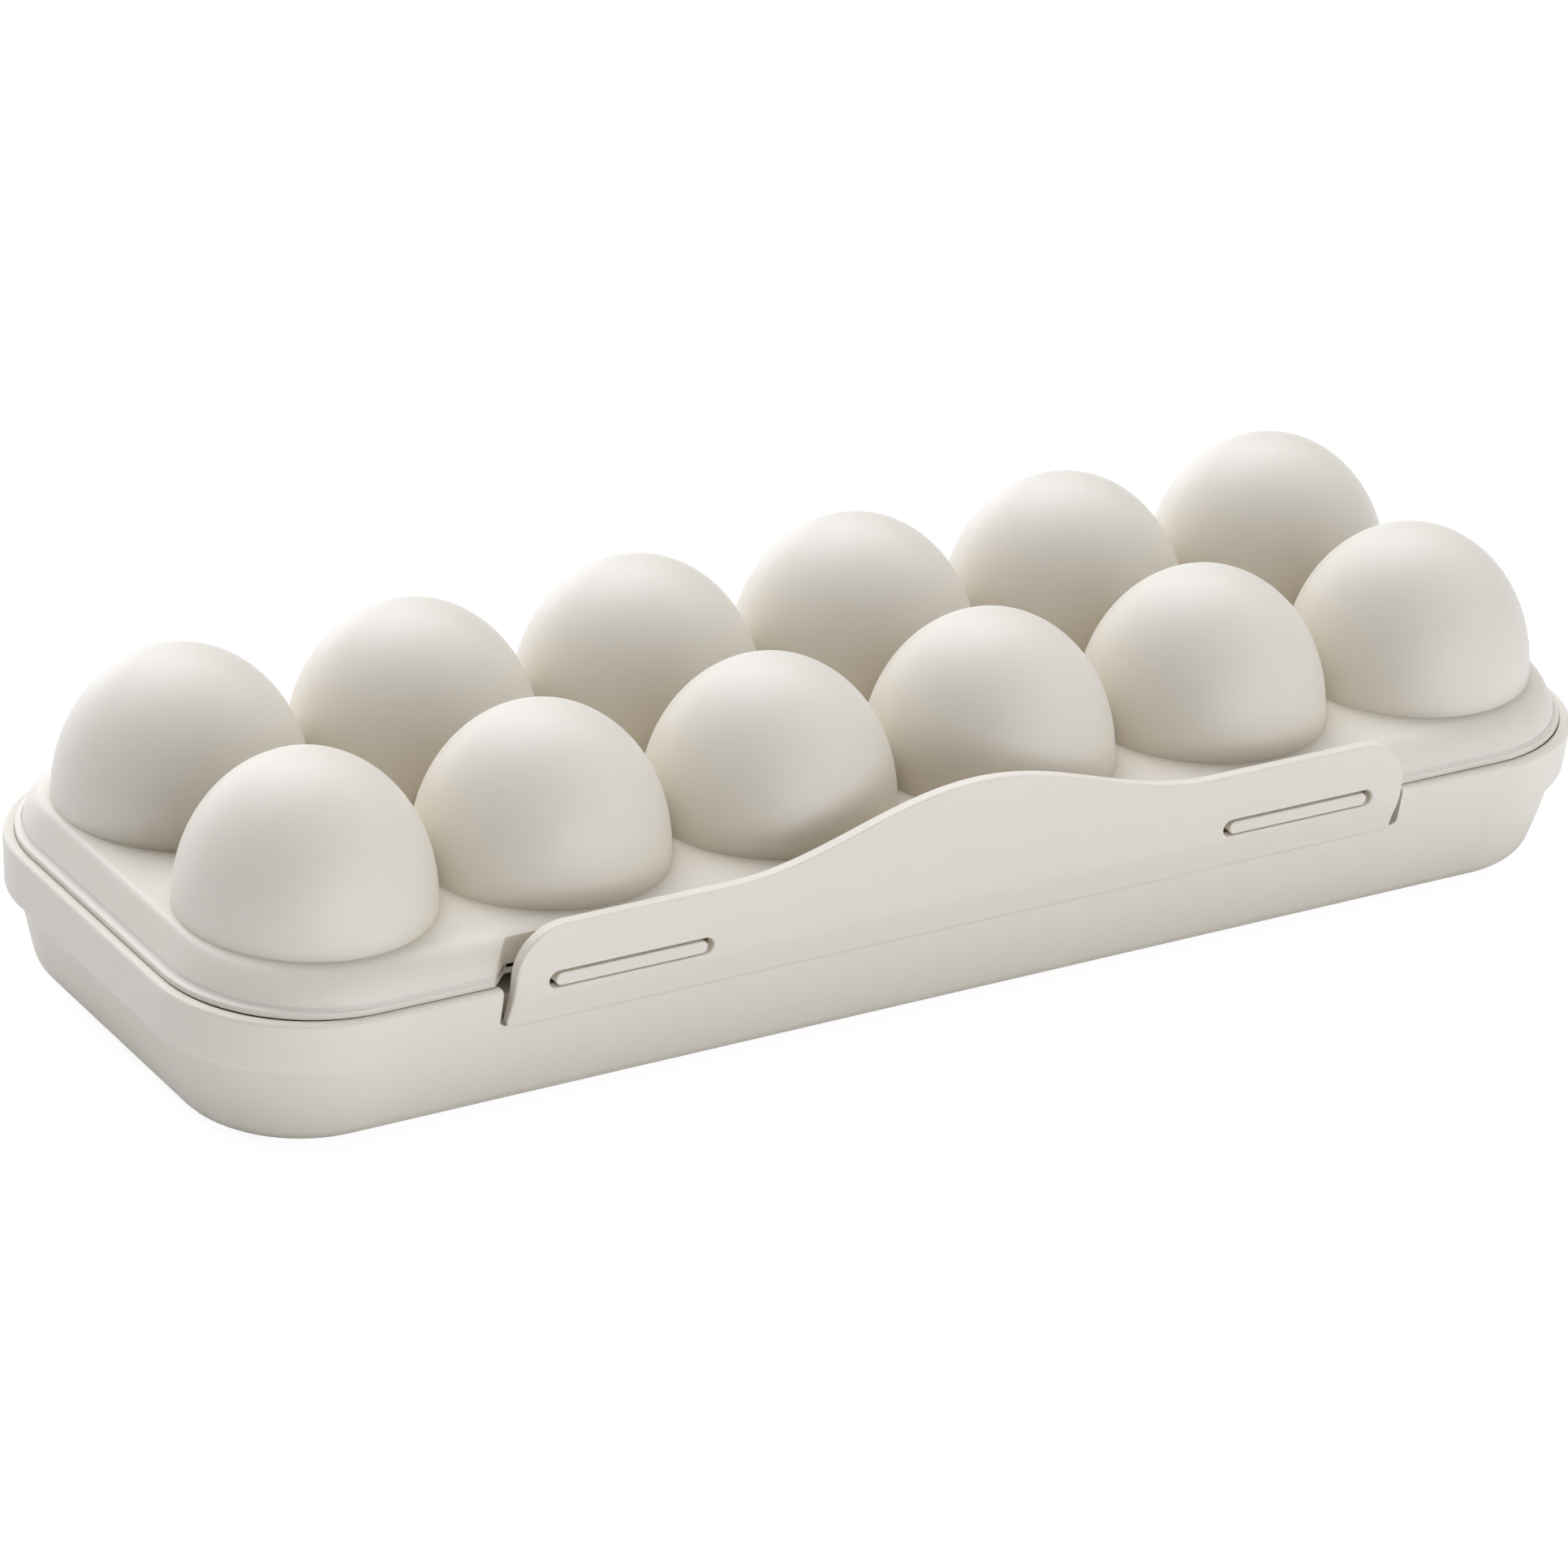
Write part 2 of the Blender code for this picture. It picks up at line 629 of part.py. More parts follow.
def panel_thickness(z):
    """The panel is thinnest at its root, where it bends."""
    growth = PANEL_THICKNESS - PANEL_ROOT_THICKNESS
    return PANEL_ROOT_THICKNESS + growth * soft_share(z, PANEL_ROOT, SLIT_DEPTH)


def panel_section():
    """The panel from the side."""
    first = PANEL_ROOT - FIT_GAP
    heights = [first + (PANEL_TOP - first) * i / ROUND_STEPS for i in range(ROUND_STEPS + 1)]
    heights.append(PANEL_TOP + WAVE_HEIGHT + OVERRUN)
    front = [(-panel_face(z), z) for z in heights]
    back = [(panel_thickness(z) - panel_face(z), z) for z in reversed(heights)]
    return front + back


def build_panel(parts, guides):
    front = -(FACE_HALF_DEPTH + OVERRUN)
    panel = plate("latch_flap", panel_outline(), front, OVERRUN + OVERRUN + OVERRUN, "XZ", parts)
    reach = PANEL_HALF_WIDTH + OVERRUN
    section = plate("panel_section", panel_section(), -reach, 2 * reach, "YZ", guides)
    boolean(panel, section, "INTERSECT")
    for side, centre in (("left", -SLOT_CENTRE), ("right", SLOT_CENTRE)):
        outline = pill_outline(centre, CATCH_Z, SLOT_LENGTH, SLOT_HEIGHT)
        slot = plate("slot_" + side, outline, front, OVERRUN + OVERRUN + OVERRUN, "XZ", guides)
        boolean(panel, slot, "DIFFERENCE")
    panel.data.materials.append(plastic("panel_cream", BASE_ROUGHNESS))
    return panel


# Joint axes

def axis_empty(name, location, collection):
    empty = bpy.data.objects.new(name, None)
    empty.location = location
    collection.objects.link(empty)
    return empty


def hang_on(pieces, empty):
    """Parents each piece to an axis empty and keeps it where it is."""
    for piece in pieces:
        piece.parent = empty
        piece.matrix_parent_inverse = Matrix.Translation(empty.location).inverted()


def panel_root_point():
    middle = panel_face(PANEL_ROOT) - PANEL_ROOT_THICKNESS / 2
    return Vector((0, -middle, PANEL_ROOT - FIT_GAP / 2))


def smooth_round_faces(obj):
    obj.data.shade_smooth()
    obj.data.set_sharp_from_angle(angle=math.radians(35))


def main():
    clear_scene()
    parts = new_collection("egg_storage_box")
    guides = new_collection("egg_storage_box_cutters")
    base = build_base(parts, guides)
    tray = build_tray(parts)
    lid = build_lid(parts, guides)
    places = (("lid_catch_left", -SLOT_CENTRE), ("lid_catch_right", SLOT_CENTRE))
    catches = [build_catch(name, x, parts) for name, x in places]
    panel = build_panel(parts, guides)
    hang_on([lid, *catches], axis_empty("lid_hinge_axis", Vector((0, HINGE_Y, HINGE_Z)), parts))
    hang_on([panel], axis_empty("latch_flap_axis", panel_root_point(), parts))
    for piece in (base, tray, lid, panel, *catches):
        smooth_round_faces(piece)


main()
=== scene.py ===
"""The looks of the egg storage box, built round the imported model.

Every moulding is made again as a fine smooth mesh in the place of its plain solid, in
metres and in the same frame, and finished in fine matte cream plastic.
"""
import json
import math

import bmesh
import bpy
from bpy.props import FloatProperty, FloatVectorProperty, IntProperty, PointerProperty
from bpy.types import Operator, Panel, PropertyGroup
from mathutils import Matrix, Vector


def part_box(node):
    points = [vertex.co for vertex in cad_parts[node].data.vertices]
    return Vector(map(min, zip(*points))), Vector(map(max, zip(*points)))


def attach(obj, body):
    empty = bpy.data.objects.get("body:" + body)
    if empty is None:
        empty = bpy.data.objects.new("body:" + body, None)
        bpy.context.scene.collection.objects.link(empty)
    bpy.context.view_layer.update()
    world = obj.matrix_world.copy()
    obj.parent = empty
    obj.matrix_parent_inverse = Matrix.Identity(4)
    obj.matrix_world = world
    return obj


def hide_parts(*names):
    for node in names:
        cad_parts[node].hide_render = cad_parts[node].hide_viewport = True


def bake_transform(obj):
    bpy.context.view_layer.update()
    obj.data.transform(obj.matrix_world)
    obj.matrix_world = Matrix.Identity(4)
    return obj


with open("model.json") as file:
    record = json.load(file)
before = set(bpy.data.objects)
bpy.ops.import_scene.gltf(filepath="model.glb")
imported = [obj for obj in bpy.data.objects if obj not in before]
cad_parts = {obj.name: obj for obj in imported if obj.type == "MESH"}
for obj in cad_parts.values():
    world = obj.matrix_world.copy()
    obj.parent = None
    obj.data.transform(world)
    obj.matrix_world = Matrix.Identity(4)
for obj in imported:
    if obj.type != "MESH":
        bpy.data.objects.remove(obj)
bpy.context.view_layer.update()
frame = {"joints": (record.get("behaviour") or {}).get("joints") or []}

bl_info = {
    "name": "Egg Storage Box",
    "version": (1, 0, 0),
    "blender": (4, 5, 0),
    "location": "View3D > Sidebar > Egg Box",
    "description": "Builds a two-row egg storage box with a domed flip lid",
    "category": "Object",
}

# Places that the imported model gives
JOINT_PLACE = {joint["name"]: Vector(joint["pos_m"]) for joint in frame["joints"]}
HINGE_Y, HINGE_Z = JOINT_PLACE["lid_hinge"].yz
PANEL_LOW, PANEL_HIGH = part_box("latch_flap")
TRAY_LOW, TRAY_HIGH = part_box("egg_tray")
LID_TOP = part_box("lid_shell")[1].z
BASE_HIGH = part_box("base_shell")[1]
CATCH_BOXES = {"left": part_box("lid_catch_left"), "right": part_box("lid_catch_right")}

# Fineness of the meshes
CORNER_STEPS = 20
DOME_SIDES = 128
DOME_RINGS = 40
HOLLOW_SIDES = 64
HOLLOW_RINGS = 20
CUP_SIDES = 72
CUP_RINGS = 18
FILLET_STEPS = 8
WALL_STEPS = 14
ARC_STEPS = 16
EDGE_STEPS = 2

# Fits and creases
FIT = 0.0003
TINY = 0.00002
WELD_DISTANCE = TINY / 10
CATCH_OVERLAP = 2 * FIT
ROOT_OVERLAP = 4 * FIT
WINDOW_CUT_WALLS = 4
MOST_ROUNDING = 0.49
SHARP_ANGLE = math.radians(38)
FLAT_FACE_WEIGHT = 80

# Blunt egg shape of the domes: powers of the height's and the width's share
DOME_RISE_POWER = 2.1
DOME_WIDTH_POWER = 0.52

# The plastic's looks
PLASTIC_IOR = 1.49
CLOUD_SHARE = 0.6
GRAIN_SHARE = 0.2
CLOUD_DETAIL = 2
GRAIN_DETAIL = 3
GLOSS_CHANGE = 0.08
GRAIN_STRENGTH = 0.35
SCATTER_COLOUR = (1.0, 0.75, 0.5)
MIX_FIRST_COLOUR, MIX_SECOND_COLOUR, MIX_COLOUR_OUTPUT = 6, 7, 2

# Light and camera
LIGHT_COLOUR = (0.966, 1.01, 1.115)
FLOOR_GLOW = 1.14
FLOOR_GLOW_SHARE = 0.8
FILM_WIDTH_MM = 36
CLIP_FACTOR = 20


# Sizes and colours that can be changed

def length(name, default, description):
    return FloatProperty(name=name, description=description, default=default, min=0,
                         unit="LENGTH", precision=5)


def fraction(name, default, description):
    return FloatProperty(name=name, description=description, default=default, min=0, max=1,
                         subtype="FACTOR")


def colour(name, default, description):
    return FloatVectorProperty(name=name, description=description, default=default, min=0, max=1,
                               size=3, subtype="COLOR")


class EggBoxLidSizes(PropertyGroup):
    pitch: length("Egg pitch", 0.05, "Distance from one egg place to the next")
    columns: IntProperty(name="Columns", description="Egg places along the box", default=6, min=1)
    rows: IntProperty(name="Rows", description="Egg places across the box", default=2, min=1)
    dome_radius: length("Dome radius", 0.0248, "Radius of a dome at its foot")
    deck_margin: length("Deck margin", 0.0004, "Flat deck left outside the outer domes")
    wall: length("Lid wall", 0.0018, "Thickness of the lid")
    skirt: length("Skirt", 0.0078, "Height of the lid's edge below its deck")
    end_reach: length("End reach", 0.0042, "How far the skirt's foot stands out from the deck")
    end_edge: length("End edge rounding", 0.0009, "Rounding of the crisp edge at the deck's ends")
    side_round: length("Side rounding", 0.0062, "How far the soft shoulder reaches in at the sides")
    flange: length("Flange", 0.0011, "How far the lid's lip stands out at the ends")
    side_flange: length("Side flange", 0.0003, "How far the lid's lip stands out at the sides")
    flange_height: length("Flange height", 0.001, "Thickness of the lid's lip")
    notch_margin: length("Notch margin", 0.0029, "Gap from the panel's side to the notch's end")
    notch_depth: length("Notch depth", 0.0038, "How far the notch cuts into the skirt")
    notch_slant: length("Notch slant", 0.0046, "How far the notch's ends slant")
    notch_round: length("Notch rounding", 0.0012, "Rounding of the notch's upright edges")


class EggBoxBaseSizes(PropertyGroup):
    height: length("Base height", 0.0289, "Height of the base's rim")
    wall: length("Base wall", 0.0024, "Thickness of the base's wall")
    floor: length("Base floor", 0.002, "Thickness of the base's floor")
    rim_round: length("Rim rounding", 0.0009, "Rounding of the rim's outer edge")
    rim_inner_round: length("Inner rim rounding", 0.0004, "Rounding of the rim's inner edge")
    grip_band: length("Grip band", 0.0098, "Height of the rim's upright band at the ends")
    grip_step: length("Grip step", 0.0036, "How far the ends stand in below the band")
    grip_height: length("Grip step height", 0.003, "Height over which the ends step in")
    shelf_ledge: length("Shelf ledge", 0.0014, "How far the inner shelf stands out for the tray")
    end_draft: length("End draft", 0.0034, "How far the ends lean in below the step")
    side_flare: length("Side flare", 0.0086, "How far the long sides lean in at the bottom")
    flare_power: FloatProperty(name="Flare power", description="How the lean grows downward",
                               default=2.2, min=1)
    bottom_round: length("Bottom rounding", 0.0045, "Rounding of the bottom edge")
    corner: length("Corner", 0.0305, "Radius of the upright corners at the rim")


class EggBoxPanelSizes(PropertyGroup):
    thickness: length("Panel thickness", 0.0026, "Thickness of the latch panel")
    root_thickness: length("Root thickness", 0.0018, "Thickness of the panel where it bends")
    lean: length("Lean", 0.0015, "How far the panel stands forward of the base's wall")
    rise: length("Panel rise", 0.0126, "Height of the panel's flat top above the rim")
    corner: length("Panel corner", 0.01, "Radius of the panel's upper corners")
    wave_height: length("Wave height", 0.0107, "Height of the wave in the panel's top edge")
    wave_half_width: length("Wave half width", 0.054, "Half the width of the wave")
    edge_round: length("Panel edge rounding", 0.0005, "Rounding of the panel's edges")
    slot_round: length("Slot edge rounding", 0.00025, "Rounding of the slots' edges")
    slit_width: length("Slit width", 0.0016, "Width of the slits beside the panel")
    slit_depth: length("Slit depth", 0.008, "How far the slits reach down from the rim")
    slit_round: length("Slit rounding", 0.0014, "Rounding of the slits' lower ends")
    slot_length: length("Slot length", 0.035, "Length of a slot")
    slot_height: length("Slot height", 0.0036, "Height of a slot")
    catch_gap: length("Catch gap", 0.0013, "Gap at each end of a catch in its slot")
    bend_height: length("Bend height", 0.006, "Height over which the panel bends")


class EggBoxTraySizes(PropertyGroup):
    wall: length("Tray wall", 0.0014, "Thickness of the egg tray")
    cup_radius: length("Cup radius", 0.0216, "Radius of a cup at its mouth")
    cup_floor: length("Cup floor", 0.009, "Radius of a cup's flat floor")
    mouth_round: length("Mouth rounding", 0.0012, "Rounding of a cup's mouth")
    edge_round: length("Tray edge rounding", 0.0012, "Rounding of the tray's outer edge")


class EggBoxHingeSizes(PropertyGroup):
    end_margin: length("End margin", 0.0625, "Distance from the middle of a clip to the rim's end")
    pin_radius: length("Pin radius", 0.0014, "Radius of the moulded pins")
    clip_wall: length("Clip wall", 0.0015, "Thickness of the clips' rings")
    clip_arm: length("Clip arm", 0.0019, "Thickness of the clips' arms")
    clip_width: length("Clip width", 0.01, "Width of a clip")
    lug_thickness: length("Lug thickness", 0.003, "Thickness of a lug")
    lug_gap: length("Lug gap", 0.0006, "Gap between a clip and the lugs beside it")
    lug_drop: length("Lug drop", 0.009, "How far a lug reaches down the wall")
    edge_round: length("Hinge edge rounding", 0.0003, "Rounding of the clips' and lugs' edges")
    mouth_half_angle: FloatProperty(name="Mouth half angle", subtype="ANGLE",
                                    description="Half the opening of a clip's mouth",
                                    default=math.radians(25))


class EggBoxFinish(PropertyGroup):
    cream: colour("Cream", (0.735, 0.676, 0.572), "Colour of the plastic")
    warm: colour("Warm cream", (0.722, 0.654, 0.536), "Colour of its faint warm clouds")
    floor: colour("Floor", (0.90, 0.90, 0.90), "Colour of the floor")
    grain: length("Grain", 0.00045, "Size of the fine moulded grain")
    grain_depth: length("Grain depth", 0.00001, "Depth of the fine moulded grain")
    cloud: length("Cloud", 0.030, "Size of the faint clouds in colour")
    haze: length("Haze", 0.005, "Size of the faint clouds in gloss")
    lid_roughness: fraction("Lid roughness", 0.46, "Roughness of the lid's plastic")
    base_roughness: fraction("Base roughness", 0.50, "Roughness of the base's plastic")
    tray_roughness: fraction("Tray roughness", 0.52, "Roughness of the tray's plastic")
    translucency: fraction("Translucency", 0.12, "Share of light that scatters in the plastic")
    scatter: length("Scatter", 0.003, "How far light scatters in the plastic")


class EggBoxStage(PropertyGroup):
    lens: FloatProperty(name="Lens", description="Focal length in millimetres", default=169.96)
    azimuth: FloatProperty(name="Azimuth", description="Camera's turn round the box",
                           subtype="ANGLE", default=math.radians(-32.76))
    elevation: FloatProperty(name="Elevation", description="Camera's height above the level",
                             subtype="ANGLE", default=math.radians(25.6))
    roll: FloatProperty(name="Roll", description="Camera's roll", subtype="ANGLE",
                        default=math.radians(3.48))
    distance: length("Distance", 1.4379, "Distance from the camera to the middle of the view")
    look_height: length("Look height", 0.0570, "Height on the box's middle line to look at")
    look_left: length("Look left", 0.00636, "How far left of that the view's middle lies")
    look_below: length("Look below", 0.02896, "How far below that the view's middle lies")
    floor_size: length("Floor size", 6, "Width of the floor")


def lid_sizes():
    return bpy.context.scene.egg_box_lid


def base_sizes():
    return bpy.context.scene.egg_box_base


def panel_sizes():
    return bpy.context.scene.egg_box_panel


def tray_sizes():
    return bpy.context.scene.egg_box_tray


def hinge_sizes():
    return bpy.context.scene.egg_box_hinge


def finish_sizes():
    return bpy.context.scene.egg_box_finish


# Outlines and rings

def round_polygon(corners, z):
    """Points at height z round an outline of rounded corners, given as (x, y, radius)."""
    points = []
    for index, (x, y, radius) in enumerate(corners):
        here = Vector((x, y))
        back = (Vector(corners[index - 1][:2]) - here).normalized()
        ahead = (Vector(corners[(index + 1) % len(corners)][:2]) - here).normalized()
        half_angle = back.angle(ahead) / 2
        centre = here + (back + ahead).normalized() * radius / math.sin(half_angle)
        tangent = radius / math.tan(half_angle)
        first = here + back * tangent - centre
        last = here + ahead * tangent - centre
        swing = math.pi - 2 * half_angle
        for step in range(CORNER_STEPS + 1):
            turn = swing * step / CORNER_STEPS
            spoke = (first * math.sin(swing - turn) + last * math.sin(turn)) / math.sin(swing)
            points.append(Vector((*(centre + spoke), z)))
    return points


def rectangle(half_length, half_depth, radius, z):
    corners = [(half_length, half_depth), (-half_length, half_depth),
               (-half_length, -half_depth), (half_length, -half_depth)]
    return round_polygon([(x, y, radius) for x, y in corners], z)


def circle(centre, radius, sides):
    turns = [math.tau * index / sides for index in range(sides)]
    return [centre + Vector((radius * math.cos(turn), radius * math.sin(turn), 0))
            for turn in turns]


def new_ring(bm, points):
    return [bm.verts.new(point) for point in points]


def bridge(bm, ring_a, ring_b):
    for index in range(len(ring_a)):
        bm.faces.new((ring_a[index - 1], ring_a[index], ring_b[index], ring_b[index - 1]))


def loft(bm, outlines, ring=None):
    """Joins outlines of equal count with faces, from an existing ring if one is given."""
    for points in outlines:
        fresh = new_ring(bm, points)
        if ring:
            bridge(bm, ring, fresh)
        ring = fresh
    return ring


def edge_loop(bm, ring):
    pairs = [(ring[index - 1], ring[index]) for index in range(len(ring))]
    return [bm.edges.get(pair) or bm.edges.new(pair) for pair in pairs]


def fill_between(bm, rings):
    """Fills the flat area inside the first ring and outside the others."""
    edges = [edge for ring in rings for edge in edge_loop(bm, ring)]
    bmesh.ops.triangle_fill(bm, use_beauty=True, edges=edges)


def mesh_object(bm, name):
    bmesh.ops.recalc_face_normals(bm, faces=bm.faces)
    mesh = bpy.data.meshes.new(name)
    bm.to_mesh(mesh)
    bm.free()
    obj = bpy.data.objects.new(name, mesh)
    bpy.context.scene.collection.objects.link(obj)
    return obj


def smooth(obj):
    """Smooth faces with crisp creases, and wide flat faces that stay flat."""
    obj.data.shade_smooth()
    obj.data.set_sharp_from_angle(angle=SHARP_ANGLE)
    weighted = obj.modifiers.new("weighted_normals", "WEIGHTED_NORMAL")
    weighted.keep_sharp = True
    weighted.weight = FLAT_FACE_WEIGHT
    return obj


def rounding(depth, height, drop):
    """How far a quarter-elliptic edge stands in from its side, at a drop below its top."""
    if depth <= 0 or drop >= height:
        return 0
    return depth * (1 - math.sqrt(1 - (1 - drop / height) ** 2))


def spaced(first, last, steps):
    return [first + (last - first) * index / steps for index in range(steps + 1)]


def soft_step(share):
    """Rises softly from 0 to 1 as a share does."""
    share = min(1, max(0, share))
    return share * share * (3 - 2 * share)


def quarter_steps(steps):
    """Shares of a quarter turn's rise, closest together where it starts level."""
    return [1 - math.cos(turn) for turn in spaced(0, math.pi / 2, steps)]


def quarter_round():
    """A rounded edge from its level start: shares of its height and of its way inward."""
    return [(1 - math.cos(turn), 1 - math.sin(turn))
            for turn in spaced(0, math.pi / 2, FILLET_STEPS)]


def plate(name, splines, thickness, edge_round, middle, upright):
    """A flat piece with rounded edges from closed outlines, standing in XZ or, upright, in YZ.

    Each outline is drawn in by the rounding first, because a curve's bevel grows outward.
    """
    curve = bpy.data.curves.new(name, "CURVE")
    curve.dimensions = "2D"
    curve.fill_mode = "BOTH"
    curve.extrude = thickness / 2 - edge_round
    curve.bevel_depth = edge_round
    curve.bevel_resolution = EDGE_STEPS
    curve.offset = -edge_round
    for outline in splines:
        spline = curve.splines.new("POLY")
        spline.points.add(len(outline) - 1)
        for point, (across, up) in zip(spline.points, outline):
            point.co = (across, up, 0, 1)
        spline.use_cyclic_u = True
    source = bpy.data.objects.new(name, curve)
    bpy.context.scene.collection.objects.link(source)
    if upright:
        turn = ((0, 0, 1, middle), (1, 0, 0, 0), (0, 1, 0, 0), (0, 0, 0, 1))
    else:
        turn = ((1, 0, 0, 0), (0, 0, -1, middle), (0, 1, 0, 0), (0, 0, 0, 1))
    source.matrix_world = Matrix(turn)
    return baked(source, name)


def baked(source, name):
    """The evaluated mesh of an object in world places, as a new object in its stead."""
    bpy.context.view_layer.update()
    graph = bpy.context.evaluated_depsgraph_get()
    mesh = bpy.data.meshes.new_from_object(source.evaluated_get(graph))
    mesh.transform(source.matrix_world)
    bpy.data.objects.remove(source, do_unlink=True)
    bm = bmesh.new()
    bm.from_mesh(mesh)
    bpy.data.meshes.remove(mesh)
    bmesh.ops.remove_doubles(bm, verts=bm.verts, dist=WELD_DISTANCE)
    return mesh_object(bm, name)


def arc(centre, radius, first, last, steps=ARC_STEPS):
    return [(centre[0] + radius * math.cos(turn), centre[1] + radius * math.sin(turn))
            for turn in spaced(first, last, steps)]


def pill(centre, full_length, height):
    radius = height / 2
    reach = full_length / 2 - radius
    return (arc((centre[0] + reach, centre[1]), radius, -math.pi / 2, math.pi / 2)
            + arc((centre[0] - reach, centre[1]), radius, math.pi / 2, 3 * math.pi / 2))


def egg_places():
    sizes = lid_sizes()
    return [Vector(((column - (sizes.columns - 1) / 2) * sizes.pitch,
                    (row - (sizes.rows - 1) / 2) * sizes.pitch, 0))
            for row in range(sizes.rows) for column in range(sizes.columns)]


# Shader nodes as Python values

class Value:
    """A node's output; arithmetic on it adds Math nodes."""

    def __init__(self, shader, socket):
        self.shader = shader
        self.socket = socket

    def _math(self, operation, first, second):
        return self.shader.node("ShaderNodeMath", {"operation": operation}, {0: first, 1: second})

    def __add__(self, other):
        return self._math("ADD", self, other)

    __radd__ = __add__

    def __mul__(self, other):
        return self._math("MULTIPLY", self, other)

    __rmul__ = __mul__

    def __sub__(self, other):
        return self._math("SUBTRACT", self, other)

    def __rsub__(self, other):
        return self._math("SUBTRACT", other, self)

    def __pow__(self, power):
        return self._math("POWER", self, power)

    def at_least(self, least):
        return self._math("MAXIMUM", self, least)


class Shader:
    """The node tree of a material or a world."""

    def __init__(self, owner):
        owner.use_nodes = True
        self.tree = owner.node_tree
        self.tree.nodes.clear()

    def node(self, kind, settings, values, output=0):
        made = self.tree.nodes.new(kind)
        for key, value in settings.items():
            setattr(made, key, value)
        for key, value in values.items():
            if isinstance(value, Value):
                self.tree.links.new(value.socket, made.inputs[key])
            else:
                made.inputs[key].default_value = value
        return Value(self, made.outputs[output]) if made.outputs else made


def noise(shader, place, size, detail):
    return shader.node("ShaderNodeTexNoise", {},
                       {"Vector": place, "Scale": 1 / size, "Detail": detail})


def cream_plastic(name, roughness, shift):
    """Fine matte moulded plastic: an even grain, and faint clouds in its colour and gloss."""
    finish = finish_sizes()
    material = bpy.data.materials.new(name)
    shader = Shader(material)
    place = shader.node("ShaderNodeTexCoord", {}, {}, "Object")
    shifted = shader.node("ShaderNodeVectorMath", {"operation": "ADD"},
                          {0: place, 1: (shift, shift, shift)})
    cloud = noise(shader, shifted, finish.cloud, CLOUD_DETAIL)
    grain = noise(shader, shifted, finish.grain, GRAIN_DETAIL)
    haze = noise(shader, shifted, finish.haze, CLOUD_DETAIL)
    tint = shader.node("ShaderNodeMix", {"data_type": "RGBA"}, {
        "Factor": cloud * CLOUD_SHARE + grain * GRAIN_SHARE,
        MIX_FIRST_COLOUR: (*finish.cream, 1),
        MIX_SECOND_COLOUR: (*finish.warm, 1),
    }, MIX_COLOUR_OUTPUT)
    bump = shader.node("ShaderNodeBump", {}, {
        "Height": grain,
        "Strength": GRAIN_STRENGTH,
        "Distance": finish.grain_depth,
    })
    surface = shader.node("ShaderNodeBsdfPrincipled", {}, {
        "Base Color": tint,
        "Roughness": roughness + (haze - 0.5) * GLOSS_CHANGE,
        "Normal": bump,
        "IOR": PLASTIC_IOR,
        "Subsurface Weight": finish.translucency,
        "Subsurface Radius": SCATTER_COLOUR,
        "Subsurface Scale": finish.scatter,
    })
    shader.node("ShaderNodeOutputMaterial", {}, {"Surface": surface})
    return material


def dress(obj, material):
    obj.data.materials.clear()
    obj.data.materials.append(material)
    return obj


def shared_material(name, roughness, shift):
    return bpy.data.materials.get(name) or cream_plastic(name, roughness, shift)


def lid_plastic():
    return shared_material("lid_cream_plastic", finish_sizes().lid_roughness, shift=0)


def base_plastic():
    return shared_material("base_cream_plastic", finish_sizes().base_roughness, shift=3)


def tray_plastic():
    return shared_material("tray_cream_plastic", finish_sizes().tray_roughness, shift=7)


# The lid

def deck_half_sizes():
    sizes = lid_sizes()
    reach = sizes.dome_radius + sizes.deck_margin
    return ((sizes.columns - 1) / 2 * sizes.pitch + reach,
            (sizes.rows - 1) / 2 * sizes.pitch + reach)


def notch_half_width():
    return PANEL_HIGH.x + lid_sizes().notch_margin


def end_slope(drop, wall):
    """How far the lid's ends stand in from the skirt's foot: a crisp edge, then a slanted flat."""
    sizes = lid_sizes()
    edge = max(TINY, sizes.end_edge - wall)
    slope = sizes.end_reach - wall - edge
    height = sizes.skirt - sizes.flange_height - wall
    return slope * max(0, 1 - drop / height) + rounding(edge, edge, drop)


def lid_ring(drop, wall, reach_share, deck_z):
    """The lid's outline at a drop below its deck, with the notch for the latch panel."""
    sizes = lid_sizes()
    deck_length, deck_depth = deck_half_sizes()
    end = end_slope(drop, wall)
    side = rounding(sizes.side_round - wall, sizes.skirt - sizes.flange_height - wall, drop)
    half_length = deck_length + sizes.end_reach - wall - end + sizes.flange * reach_share
    half_depth = deck_depth + sizes.side_round - wall - side
    notch_y = deck_depth + sizes.side_round - sizes.notch_depth - wall
    notch_y = min(notch_y, half_depth - TINY)
    lip_depth = half_depth + sizes.side_flange * reach_share
    radius = sizes.dome_radius + sizes.deck_margin + sizes.end_reach - wall - end
    notch = notch_half_width() - sizes.notch_slant + wall * (math.sqrt(2) - 1)
    notch_mouth = notch + lip_depth - notch_y
    small = min(sizes.notch_round, (lip_depth - notch_y) * MOST_ROUNDING)
    return round_polygon([
        (half_length, lip_depth, radius),
        (-half_length, lip_depth, radius),
        (-half_length, -lip_depth, radius),
        (-notch_mouth, -lip_depth, small),
        (-notch, -notch_y, small),
        (notch, -notch_y, small),
        (notch_mouth, -lip_depth, small),
        (half_length, -lip_depth, radius),
    ], deck_z - drop)


# The lip's profile from the skirt down: share of its reach, and drop as a share of its height
LIP_SHARES = (
    (0.06, -0.75), (0.16, -0.42), (0.34, -0.18), (0.60, -0.06), (0.86, 0.0),
    (0.96, 0.12), (1.0, 0.30), (1.0, 1.05), (0.93, 1.2),
)


